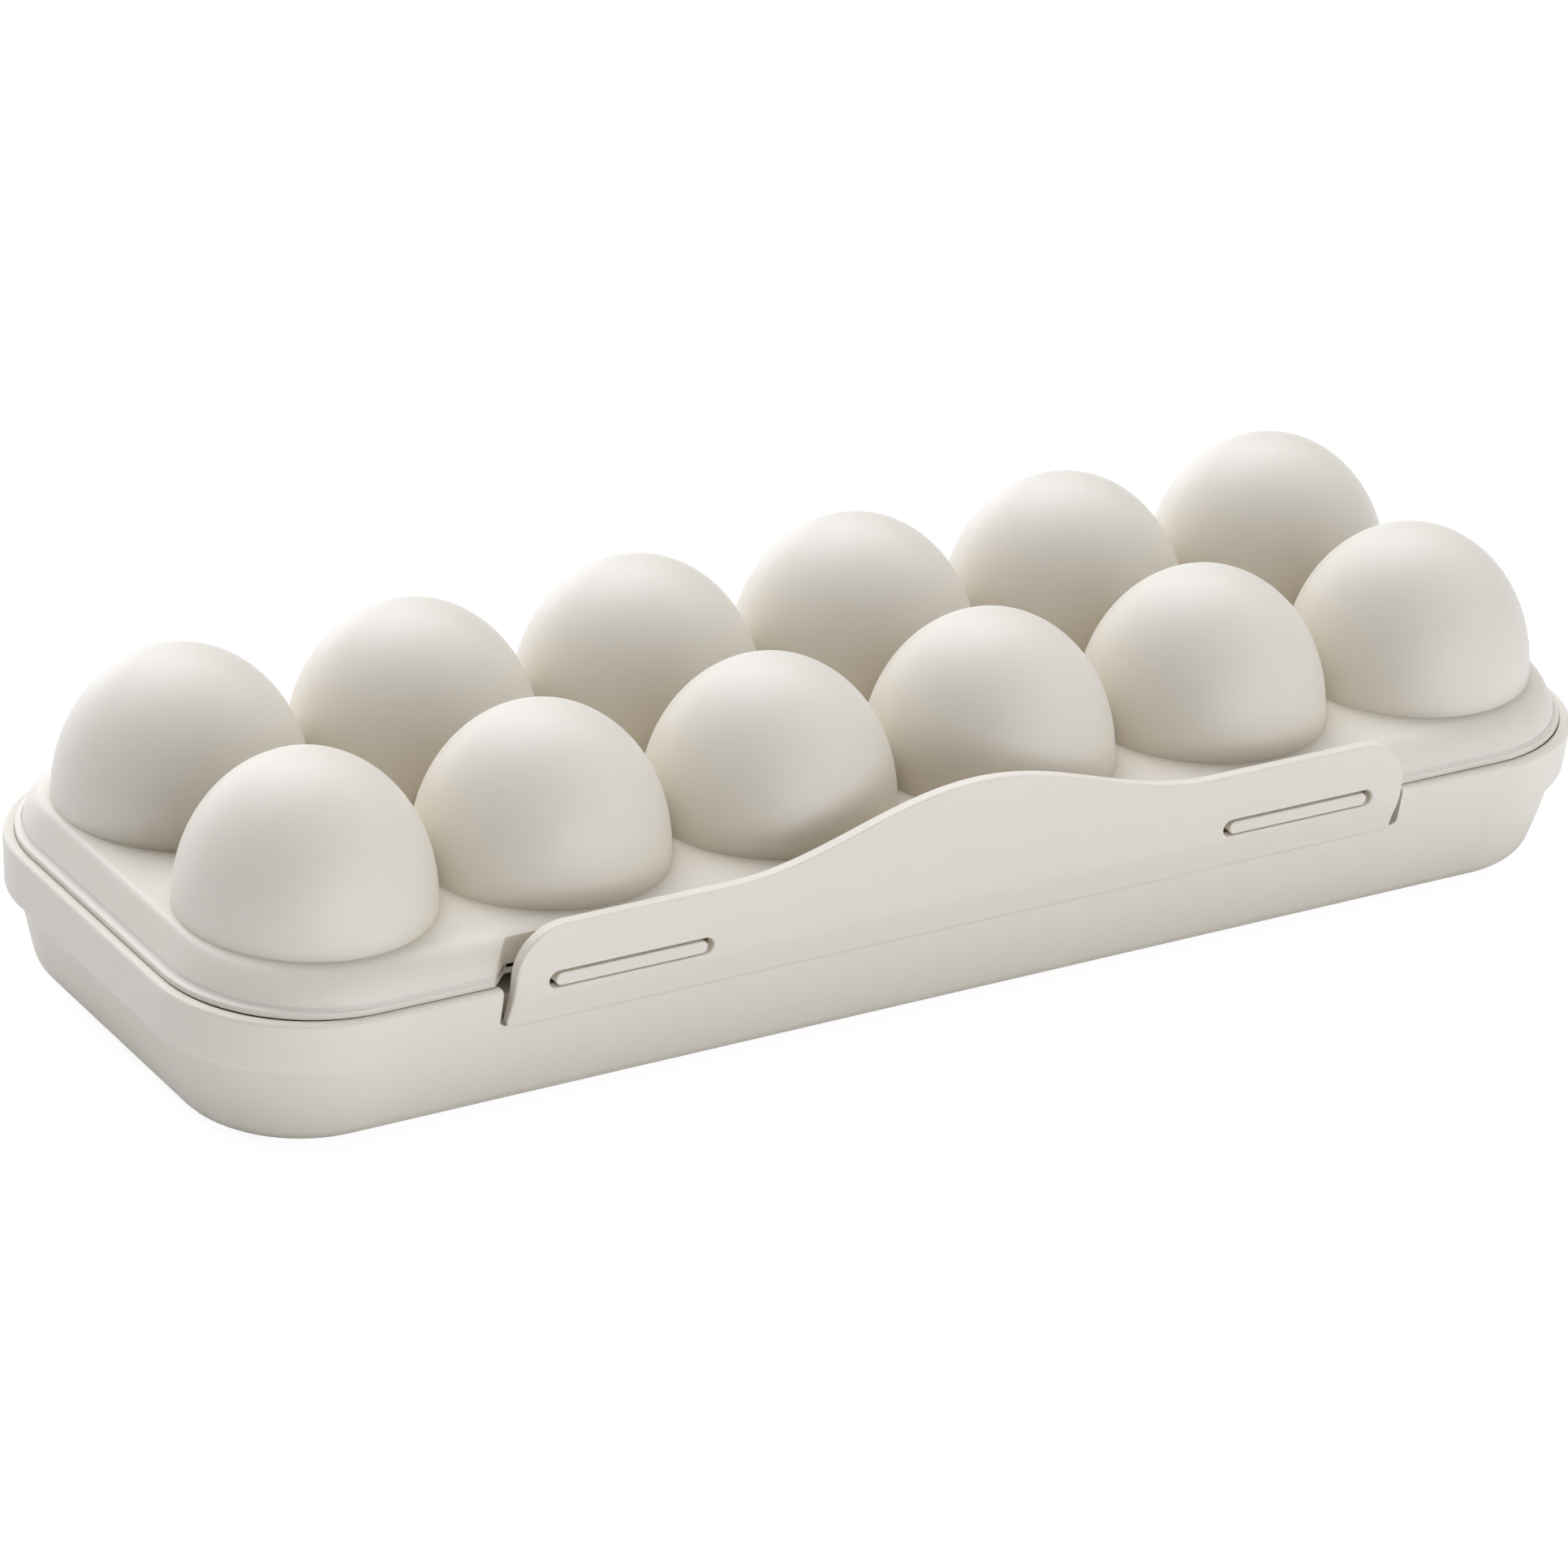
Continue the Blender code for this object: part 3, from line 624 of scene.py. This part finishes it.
def add_dome(bm, foot, place, radius, height, rings):
    """A dome that rises upright from its foot and closes in a slightly blunt egg end."""
    base = foot[0].co.z
    ring = foot
    for step in range(1, rings):
        share = math.sin(math.pi / 2 * step / rings)
        width = radius * (1 - share ** DOME_RISE_POWER) ** DOME_WIDTH_POWER
        centre = place + Vector((0, 0, base + height * share))
        ring = loft(bm, [circle(centre, width, len(foot))], ring)
    tip = bm.verts.new(place + Vector((0, 0, base + height)))
    for index in range(len(ring)):
        bm.faces.new((ring[index - 1], ring[index], tip))


def add_domed_deck(bm, edge, radius, height, sides, rings):
    level = edge[0].co.z
    feet = []
    for place in egg_places():
        foot = new_ring(bm, circle(place + Vector((0, 0, level)), radius, sides))
        add_dome(bm, foot, place, radius, height, rings)
        feet.append(foot)
    fill_between(bm, [edge, *feet])


def build_lid_mesh():
    sizes = lid_sizes()
    deck_z = HINGE_Z + sizes.skirt
    height = LID_TOP - deck_z
    side_height = sizes.skirt - sizes.flange_height
    drops = [side_height * share for share in quarter_steps(2 * FILLET_STEPS)]
    outer = [lid_ring(drop, 0, 0, deck_z) for drop in drops]
    outer += [lid_ring(side_height + sizes.flange_height * drop_share, 0, reach_share, deck_z)
              for reach_share, drop_share in LIP_SHARES]
    inner_z = deck_z - sizes.wall
    inner_height = side_height - sizes.wall
    inner_drops = [inner_height * share for share in quarter_steps(FILLET_STEPS)]
    inner = [lid_ring(sizes.skirt - sizes.wall, sizes.wall, 0, inner_z)]
    inner += [lid_ring(drop, sizes.wall, 0, inner_z) for drop in reversed(inner_drops)]
    bm = bmesh.new()
    top = new_ring(bm, outer[0])
    bottom = loft(bm, outer[1:], top)
    inside = loft(bm, inner, bottom)
    add_domed_deck(bm, top, sizes.dome_radius, height, DOME_SIDES, DOME_RINGS)
    add_domed_deck(bm, inside, sizes.dome_radius - sizes.wall, height,
                   HOLLOW_SIDES, HOLLOW_RINGS)
    return mesh_object(bm, "domed_lid")


class EGGBOX_OT_lid(Operator):
    """Make the domed lid with its shoulder, lip and notch"""
    bl_idname = "eggbox.lid"
    bl_label = "Lid"

    def execute(self, context):
        lid = smooth(build_lid_mesh())
        dress(lid, lid_plastic())
        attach(lid, "lid")
        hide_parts("lid_shell")
        return {"FINISHED"}


class EGGBOX_OT_catches(Operator):
    """Make the two catches that fill the slots of the latch panel"""
    bl_idname = "eggbox.catches"
    bl_label = "Catches"

    def execute(self, context):
        sizes = panel_sizes()
        catch_length = sizes.slot_length - 2 * sizes.catch_gap
        for side, (low, high) in CATCH_BOXES.items():
            middle = (low + high) / 2
            outline = pill((middle.x, middle.z), catch_length, high.z - low.z)
            front = panel_place(0, middle.z)
            deep = high.y + CATCH_OVERLAP - front
            catch = smooth(plate("catch_" + side, [outline], deep, sizes.slot_round,
                                 front + deep / 2, upright=False))
            dress(catch, lid_plastic())
            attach(catch, "lid")
            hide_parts("lid_catch_" + side)
        return {"FINISHED"}


# The base

def flare(z):
    """How far the long sides stand in from the panel's face at height z."""
    sizes = base_sizes()
    top = sizes.height + panel_sizes().rise
    return sizes.side_flare * max(0, (top - z) / top) ** sizes.flare_power


def end_inset(z):
    """How far the ends stand in from the rim's upright band at height z."""
    sizes = base_sizes()
    step_bottom = sizes.height - sizes.grip_band - sizes.grip_height
    step = sizes.grip_step * (1 - soft_step((z - step_bottom) / sizes.grip_height))
    return step + sizes.end_draft * max(0, 1 - z / step_bottom)


def wall_face():
    """How far the long walls would stand out at the height of the panel's flat top."""
    return -PANEL_LOW.y - panel_sizes().lean


def wall_ring(z, inset_x, inset_y, inward):
    half_length = BASE_HIGH.x - inset_x - inward
    half_depth = wall_face() - inset_y - inward
    taper = (inset_x + inset_y - flare(base_sizes().height)) / 2
    return rectangle(half_length, half_depth, base_sizes().corner - taper - inward, z)


def outer_ring(z, inward):
    return wall_ring(z, end_inset(z), flare(z), inward)


def inner_ring(z):
    return outer_ring(z, base_sizes().wall)


def base_outer_rings():
    """From the bottom's rounded edge up the wall and over the rim's outer edge."""
    sizes = base_sizes()
    step_top = sizes.height - sizes.grip_band
    step_bottom = step_top - sizes.grip_height
    rim_start = sizes.height - sizes.rim_round
    edge = quarter_round()
    levels = spaced(sizes.bottom_round, step_bottom, WALL_STEPS)[1:]
    levels += spaced(step_bottom, step_top, WALL_STEPS)[1:]
    levels += spaced(step_top, rim_start, FILLET_STEPS)[1:]
    rings = [outer_ring(sizes.bottom_round * up, sizes.bottom_round * inward)
             for up, inward in edge]
    rings += [outer_ring(z, 0) for z in levels]
    rings += [outer_ring(sizes.height - sizes.rim_round * up, sizes.rim_round * inward)
              for up, inward in reversed(edge[:-1])]
    return rings


def base_inner_rings():
    """From the rim's inner edge down past the tray's shelf to the floor."""
    sizes = base_sizes()
    step_top = sizes.height - sizes.grip_band
    step_bottom = step_top - sizes.grip_height
    rim_round = sizes.rim_inner_round
    floor_round = sizes.bottom_round - sizes.wall
    edge = quarter_round()
    rings = [wall_ring(sizes.height - rim_round * up, 0, flare(sizes.height),
                       sizes.wall - rim_round * inward)
             for up, inward in edge]
    rings += [wall_ring(z, 0, flare(z), sizes.wall)
              for z in spaced(sizes.height - rim_round, step_top, FILLET_STEPS)[1:]]
    rings.append(wall_ring(step_top, sizes.grip_step, flare(step_top),
                           sizes.wall + sizes.shelf_ledge))
    rings += [inner_ring(z) for z in spaced(step_bottom, sizes.floor + floor_round, WALL_STEPS)]
    rings += [wall_ring(sizes.floor + floor_round * up, end_inset(sizes.floor),
                        flare(sizes.floor), sizes.wall + floor_round * inward)
              for up, inward in reversed(edge[:-1])]
    return rings


def window_outline():
    """The opening in the front wall that leaves a slit at each side of the panel."""
    sizes = panel_sizes()
    half = PANEL_HIGH.x + sizes.slit_width
    bottom = PANEL_LOW.z
    top = base_sizes().height + sizes.rise
    reach = half - sizes.slit_round
    level = bottom + sizes.slit_round
    left = arc((-reach, level), sizes.slit_round, math.pi, math.pi * 1.5)
    right = arc((reach, level), sizes.slit_round, math.pi * 1.5, math.pi * 2)
    return [(half, top), (-half, top), *left, *right]


def build_base_mesh():
    bm = bmesh.new()
    outer = base_outer_rings()
    first = new_ring(bm, outer[0])
    last = loft(bm, [*outer[1:], *base_inner_rings()], first)
    bm.faces.new(first)
    bm.faces.new(last)
    base = mesh_object(bm, "base_tub")
    sizes = base_sizes()
    inner_face = flare(PANEL_LOW.z) + sizes.wall - wall_face()
    deep = sizes.wall * WINDOW_CUT_WALLS
    cutter = plate("window_cutter", [window_outline()], deep, 0,
                   inner_face + sizes.wall - deep / 2, upright=False)
    cut = base.modifiers.new("window", "BOOLEAN")
    cut.operation = "DIFFERENCE"
    cut.solver = "EXACT"
    cut.object = cutter
    base = baked(base, "base_tub")
    bpy.data.objects.remove(cutter, do_unlink=True)
    return base


class EGGBOX_OT_base(Operator):
    """Make the base with its rim, grip steps and the opening for the latch panel"""
    bl_idname = "eggbox.base"
    bl_label = "Base"

    def execute(self, context):
        base = smooth(build_base_mesh())
        dress(base, base_plastic())
        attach(base, "base")
        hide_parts("base_shell")
        return {"FINISHED"}


# The latch panel

def panel_outline():
    """The panel from the front, with round upper corners and one wave in its top edge."""
    sizes = panel_sizes()
    half = PANEL_HIGH.x
    bottom = PANEL_LOW.z - ROOT_OVERLAP
    top = base_sizes().height + sizes.rise
    points = [(-half, bottom), (half, bottom)]
    points += arc((half - sizes.corner, top - sizes.corner), sizes.corner, 0, math.pi / 2)
    for share in spaced(1, -1, 4 * ARC_STEPS):
        points.append((sizes.wave_half_width * share,
                       top + sizes.wave_height * (1 + math.cos(math.pi * share)) / 2))
    points += arc((sizes.corner - half, top - sizes.corner), sizes.corner, math.pi / 2, math.pi)
    return points


def slot_outlines():
    sizes = panel_sizes()
    outlines = []
    for low, high in CATCH_BOXES.values():
        middle = (low + high) / 2
        outlines.append(pill((middle.x, middle.z), sizes.slot_length, sizes.slot_height))
    return outlines


def panel_share(z):
    """Rises softly from 0 at the panel's root to 1 at the rim."""
    return soft_step((z - PANEL_LOW.z) / panel_sizes().slit_depth)


def panel_place(depth_share, z):
    """Where a point of the panel lies in Y, from its share of the depth behind the face."""
    sizes = panel_sizes()
    grown = panel_share(z)
    thickness = sizes.root_thickness + (sizes.thickness - sizes.root_thickness) * grown
    return depth_share * thickness + flare(z) - wall_face() - sizes.lean * grown


def cut_across(bm, heights):
    """Adds level lines to a mesh, so that it can bend between them."""
    for z in heights:
        everything = bm.verts[:] + bm.edges[:] + bm.faces[:]
        bmesh.ops.bisect_plane(bm, geom=everything, dist=WELD_DISTANCE,
                               plane_co=(0, 0, z), plane_no=(0, 0, 1))


def build_panel_mesh():
    sizes = panel_sizes()
    flat = plate("latch_panel", [panel_outline(), *slot_outlines()], sizes.thickness,
                 sizes.edge_round, 0, upright=False)
    bm = bmesh.new()
    bm.from_mesh(flat.data)
    bpy.data.objects.remove(flat, do_unlink=True)
    cut_across(bm, spaced(PANEL_LOW.z, base_sizes().height + sizes.rise, 2 * ARC_STEPS))
    for vert in bm.verts:
        vert.co.y = panel_place(vert.co.y / sizes.thickness + 0.5, vert.co.z)
    return mesh_object(bm, "latch_panel")


class EGGBOX_OT_panel(Operator):
    """Make the springy latch panel, joined flush to the base's front wall"""
    bl_idname = "eggbox.panel"
    bl_label = "Latch panel"

    def execute(self, context):
        panel = smooth(build_panel_mesh())
        dress(panel, base_plastic())
        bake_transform(panel)
        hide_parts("latch_flap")
        return {"FINISHED"}


# The egg tray

def build_tray_mesh():
    sizes = tray_sizes()
    radius = base_sizes().corner - flare(TRAY_LOW.z) / 2 - base_sizes().wall
    shelf = base_sizes().height - base_sizes().grip_band + FIT

    def ring(z, inward):
        return rectangle(TRAY_HIGH.x - inward, TRAY_HIGH.y - inward, radius - inward, z)

    outer = [ring(TRAY_HIGH.z - sizes.edge_round * up, sizes.edge_round * inward)
             for up, inward in quarter_round()]
    outer.append(ring(shelf, 0))
    bm = bmesh.new()
    top = new_ring(bm, outer[0])
    bottom = loft(bm, outer[1:], top)
    under = loft(bm, [ring(shelf, sizes.wall), ring(TRAY_HIGH.z - sizes.wall, sizes.wall)],
                 bottom)
    add_cupped_deck(bm, top, 0)
    add_cupped_deck(bm, under, sizes.wall)
    return mesh_object(bm, "cupped_tray")


def cup_profile(wall):
    """Radius and depth below the deck, from a cup's rounded mouth to its flat floor."""
    sizes = tray_sizes()
    floor_depth = TRAY_HIGH.z - TRAY_LOW.z - sizes.wall
    mouth = max(TINY, sizes.mouth_round - wall)
    points = [(sizes.cup_radius + wall + mouth * outward, mouth * down)
              for down, outward in quarter_round()]
    start = points[-1][1]
    for turn in spaced(0, math.pi / 2, CUP_RINGS)[1:]:
        radius = sizes.cup_floor + (sizes.cup_radius + wall - sizes.cup_floor) * math.cos(turn)
        points.append((radius, start + (floor_depth - start) * math.sin(turn)))
    return points


def add_cupped_deck(bm, edge, wall):
    level = edge[0].co.z
    mouths = []
    for place in egg_places():
        outlines = [circle(place + Vector((0, 0, level - depth)), radius, CUP_SIDES)
                    for radius, depth in cup_profile(wall)]
        mouth = new_ring(bm, outlines[0])
        floor = loft(bm, outlines[1:], mouth)
        bm.faces.new(floor)
        mouths.append(mouth)
    fill_between(bm, [edge, *mouths])


class EGGBOX_OT_tray(Operator):
    """Make the lift-out egg tray with its cups"""
    bl_idname = "eggbox.tray"
    bl_label = "Egg tray"

    def execute(self, context):
        tray = smooth(build_tray_mesh())
        dress(tray, tray_plastic())
        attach(tray, "base")
        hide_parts("egg_tray")
        return {"FINISHED"}


# The hinge

def clip_outline():
    sizes = hinge_sizes()
    centre = (HINGE_Y, HINGE_Z)
    bore = sizes.pin_radius + FIT
    outer = bore + sizes.clip_wall
    arm_end = deck_half_sizes()[1] + lid_sizes().side_round - lid_sizes().wall / 2
    arm_turn = math.pi - math.asin((outer - sizes.clip_arm) / outer)
    mouth_a = sizes.mouth_half_angle - math.pi / 2
    mouth_b = 3 * math.pi / 2 - sizes.mouth_half_angle
    return [(arm_end, HINGE_Z + outer - sizes.clip_arm), (arm_end, HINGE_Z + outer),
            *arc(centre, outer, math.pi / 2, mouth_a),
            *arc(centre, bore, mouth_a, mouth_b, 2 * ARC_STEPS),
            *arc(centre, outer, mouth_b, arm_turn, ARC_STEPS // 2)]


def lug_outline():
    sizes = hinge_sizes()
    outer = sizes.pin_radius + FIT + sizes.clip_wall
    low = HINGE_Z - sizes.lug_drop
    root = wall_face() - flare(low) - base_sizes().wall / 4
    under_rim = base_sizes().height - FIT
    return [(root, under_rim), (root, low),
            *arc((HINGE_Y, HINGE_Z), outer, -math.pi / 3, math.pi / 2),
            (HINGE_Y - outer, under_rim)]


def hinge_places():
    """The middles of the two clips along the box."""
    x = BASE_HIGH.x - hinge_sizes().end_margin
    return {"left": -x, "right": x}


def build_hinge_lugs(side, x):
    sizes = hinge_sizes()
    inner_face = sizes.clip_width / 2 + sizes.lug_gap
    for number, direction in enumerate((-1, 1), 1):
        middle = x + direction * (inner_face + sizes.lug_thickness / 2)
        lug = plate("hinge_lug_%s_%d" % (side, number), [lug_outline()], sizes.lug_thickness,
                    sizes.edge_round, middle, upright=True)
        finish_base_piece(smooth(lug))
    reach = inner_face + sizes.lug_thickness / 2
    finish_base_piece(smooth(build_hinge_pin("hinge_pin_" + side, x - reach, x + reach)))


def build_hinge_pin(name, first_x, last_x):
    """A moulded pin that ends inside the lugs beside it."""
    turns = arc((HINGE_Y, HINGE_Z), hinge_sizes().pin_radius, 0, math.tau, 2 * ARC_STEPS)[:-1]
    ends = [[Vector((x, y, z)) for y, z in turns] for x in (first_x, last_x)]
    bm = bmesh.new()
    first = new_ring(bm, ends[0])
    last = loft(bm, ends[1:], first)
    bm.faces.new(first)
    bm.faces.new(last)
    return mesh_object(bm, name)


def finish_base_piece(obj):
    dress(obj, base_plastic())
    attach(obj, "base")


class EGGBOX_OT_hinge(Operator):
    """Make the hinge: lugs and pins on the base, and open clips on the lid"""
    bl_idname = "eggbox.hinge"
    bl_label = "Hinge"

    def execute(self, context):
        sizes = hinge_sizes()
        for side, x in hinge_places().items():
            build_hinge_lugs(side, x)
            clip = smooth(plate("hinge_clip_" + side, [clip_outline()], sizes.clip_width,
                                sizes.edge_round, x, upright=True))
            dress(clip, lid_plastic())
            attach(clip, "lid")
        return {"FINISHED"}


# The stage

def floor_material():
    """A pale floor that the camera sees nearly white, and that keeps the box's shadow."""
    material = bpy.data.materials.new("pale_floor")
    shader = Shader(material)
    path = shader.node("ShaderNodeLightPath", {}, {}, "Is Camera Ray")
    matte = shader.node("ShaderNodeBsdfDiffuse", {}, {"Color": (*finish_sizes().floor, 1)})
    white = shader.node("ShaderNodeEmission", {}, {"Color": (1, 1, 1, 1), "Strength": FLOOR_GLOW})
    mixed = shader.node("ShaderNodeMixShader", {}, {0: path * FLOOR_GLOW_SHARE, 1: matte, 2: white})
    shader.node("ShaderNodeOutputMaterial", {}, {"Surface": mixed})
    return material


def build_floor(size):
    bpy.ops.mesh.primitive_plane_add(size=size, location=(0, 0, -TINY))
    floor = bpy.context.object
    floor.name = "floor"
    floor.data.materials.append(floor_material())


# Broad soft lights all round: azimuth from the front and elevation in degrees, sharpness, strength
SOFT_LIGHTS = (
    (180, 55, 10, 5.4),
    (120, 55, 10, 1.1),
    (45, 22, 10, 1.45),
    (0, 22, 10, 0.7),
    (225, 22, 10, 0.9),
    (180, 0, 16, 3.4),
    (0, 0, 16, 4.9),
)


def build_world():
    """Soft studio light, strongest from high behind and low behind, and a white background."""
    world = bpy.data.worlds.new("soft_studio")
    bpy.context.scene.world = world
    shader = Shader(world)
    place = shader.node("ShaderNodeTexCoord", {}, {}, "Generated")
    total = 0.0
    for azimuth, elevation, sharpness, strength in SOFT_LIGHTS:
        toward = direction(math.radians(azimuth), math.radians(elevation))
        facing = shader.node("ShaderNodeVectorMath", {"operation": "DOT_PRODUCT"},
                             {0: place, 1: toward}, "Value")
        total = facing.at_least(0) ** sharpness * strength + total
    sees = shader.node("ShaderNodeLightPath", {}, {}, "Is Camera Ray")
    light = shader.node("ShaderNodeBackground", {},
                        {"Color": (*LIGHT_COLOUR, 1), "Strength": total})
    white = shader.node("ShaderNodeBackground", {}, {"Color": (1, 1, 1, 1), "Strength": 1})
    mixed = shader.node("ShaderNodeMixShader", {}, {0: sees, 1: light, 2: white})
    shader.node("ShaderNodeOutputWorld", {}, {"Surface": mixed})


def direction(azimuth, elevation):
    """A level turn from the front towards +X, and a rise, as a unit vector."""
    level = math.cos(elevation)
    return Vector((math.sin(azimuth) * level, -math.cos(azimuth) * level, math.sin(elevation)))


def build_camera(stage):
    """The camera looks past the box's middle, as the photograph frames it."""
    roll = stage.roll
    back = direction(stage.azimuth, stage.elevation)
    level_right = (-back).cross(Vector((0, 0, 1))).normalized()
    level_up = level_right.cross(-back)
    right = math.cos(roll) * level_right + math.sin(roll) * level_up
    up = math.cos(roll) * level_up - math.sin(roll) * level_right
    target = Vector((0, 0, stage.look_height)) - right * stage.look_left - up * stage.look_below
    camera = bpy.data.objects.new("camera", bpy.data.cameras.new("camera"))
    bpy.context.scene.collection.objects.link(camera)
    turn = Matrix((right, up, back)).transposed().to_4x4()
    camera.matrix_world = Matrix.Translation(target + back * stage.distance) @ turn
    camera.data.lens = stage.lens
    camera.data.sensor_width = FILM_WIDTH_MM
    camera.data.clip_start = stage.distance / CLIP_FACTOR
    camera.data.clip_end = stage.distance * CLIP_FACTOR
    bpy.context.scene.camera = camera


class EGGBOX_OT_stage(Operator):
    """Make the floor, the soft light and the camera"""
    bl_idname = "eggbox.stage"
    bl_label = "Stage"

    def execute(self, context):
        stage = context.scene.egg_box_stage
        build_floor(stage.floor_size)
        build_world()
        build_camera(stage)
        context.scene.view_settings.view_transform = "Standard"
        return {"FINISHED"}


# The panel in the sidebar, and the run

OPERATORS = (EGGBOX_OT_base, EGGBOX_OT_tray, EGGBOX_OT_panel, EGGBOX_OT_lid, EGGBOX_OT_catches,
             EGGBOX_OT_hinge, EGGBOX_OT_stage)
GROUPS = {
    "egg_box_lid": EggBoxLidSizes,
    "egg_box_base": EggBoxBaseSizes,
    "egg_box_panel": EggBoxPanelSizes,
    "egg_box_tray": EggBoxTraySizes,
    "egg_box_hinge": EggBoxHingeSizes,
    "egg_box_finish": EggBoxFinish,
    "egg_box_stage": EggBoxStage,
}


class EGGBOX_PT_sidebar(Panel):
    """The box's sizes, colours and pieces"""
    bl_idname = "EGGBOX_PT_sidebar"
    bl_label = "Egg Storage Box"
    bl_space_type = "VIEW_3D"
    bl_region_type = "UI"
    bl_category = "Egg Box"

    def draw(self, context):
        for name, group in GROUPS.items():
            box = self.layout.box()
            box.label(text=name.replace("egg_box_", "").capitalize())
            for key in group.__annotations__:
                box.prop(getattr(context.scene, name), key)
        for operator in OPERATORS:
            self.layout.operator(operator.bl_idname)


def register():
    for name, group in GROUPS.items():
        bpy.utils.register_class(group)
        setattr(bpy.types.Scene, name, PointerProperty(type=group))
    for cls in (*OPERATORS, EGGBOX_PT_sidebar):
        bpy.utils.register_class(cls)


def unregister():
    for cls in (EGGBOX_PT_sidebar, *reversed(OPERATORS)):
        bpy.utils.unregister_class(cls)
    for name, group in reversed(GROUPS.items()):
        delattr(bpy.types.Scene, name)
        bpy.utils.unregister_class(group)


def main():
    register()
    for operator in OPERATORS:
        family, name = operator.bl_idname.split(".")
        getattr(getattr(bpy.ops, family), name)()


if __name__ == "__main__":
    main()
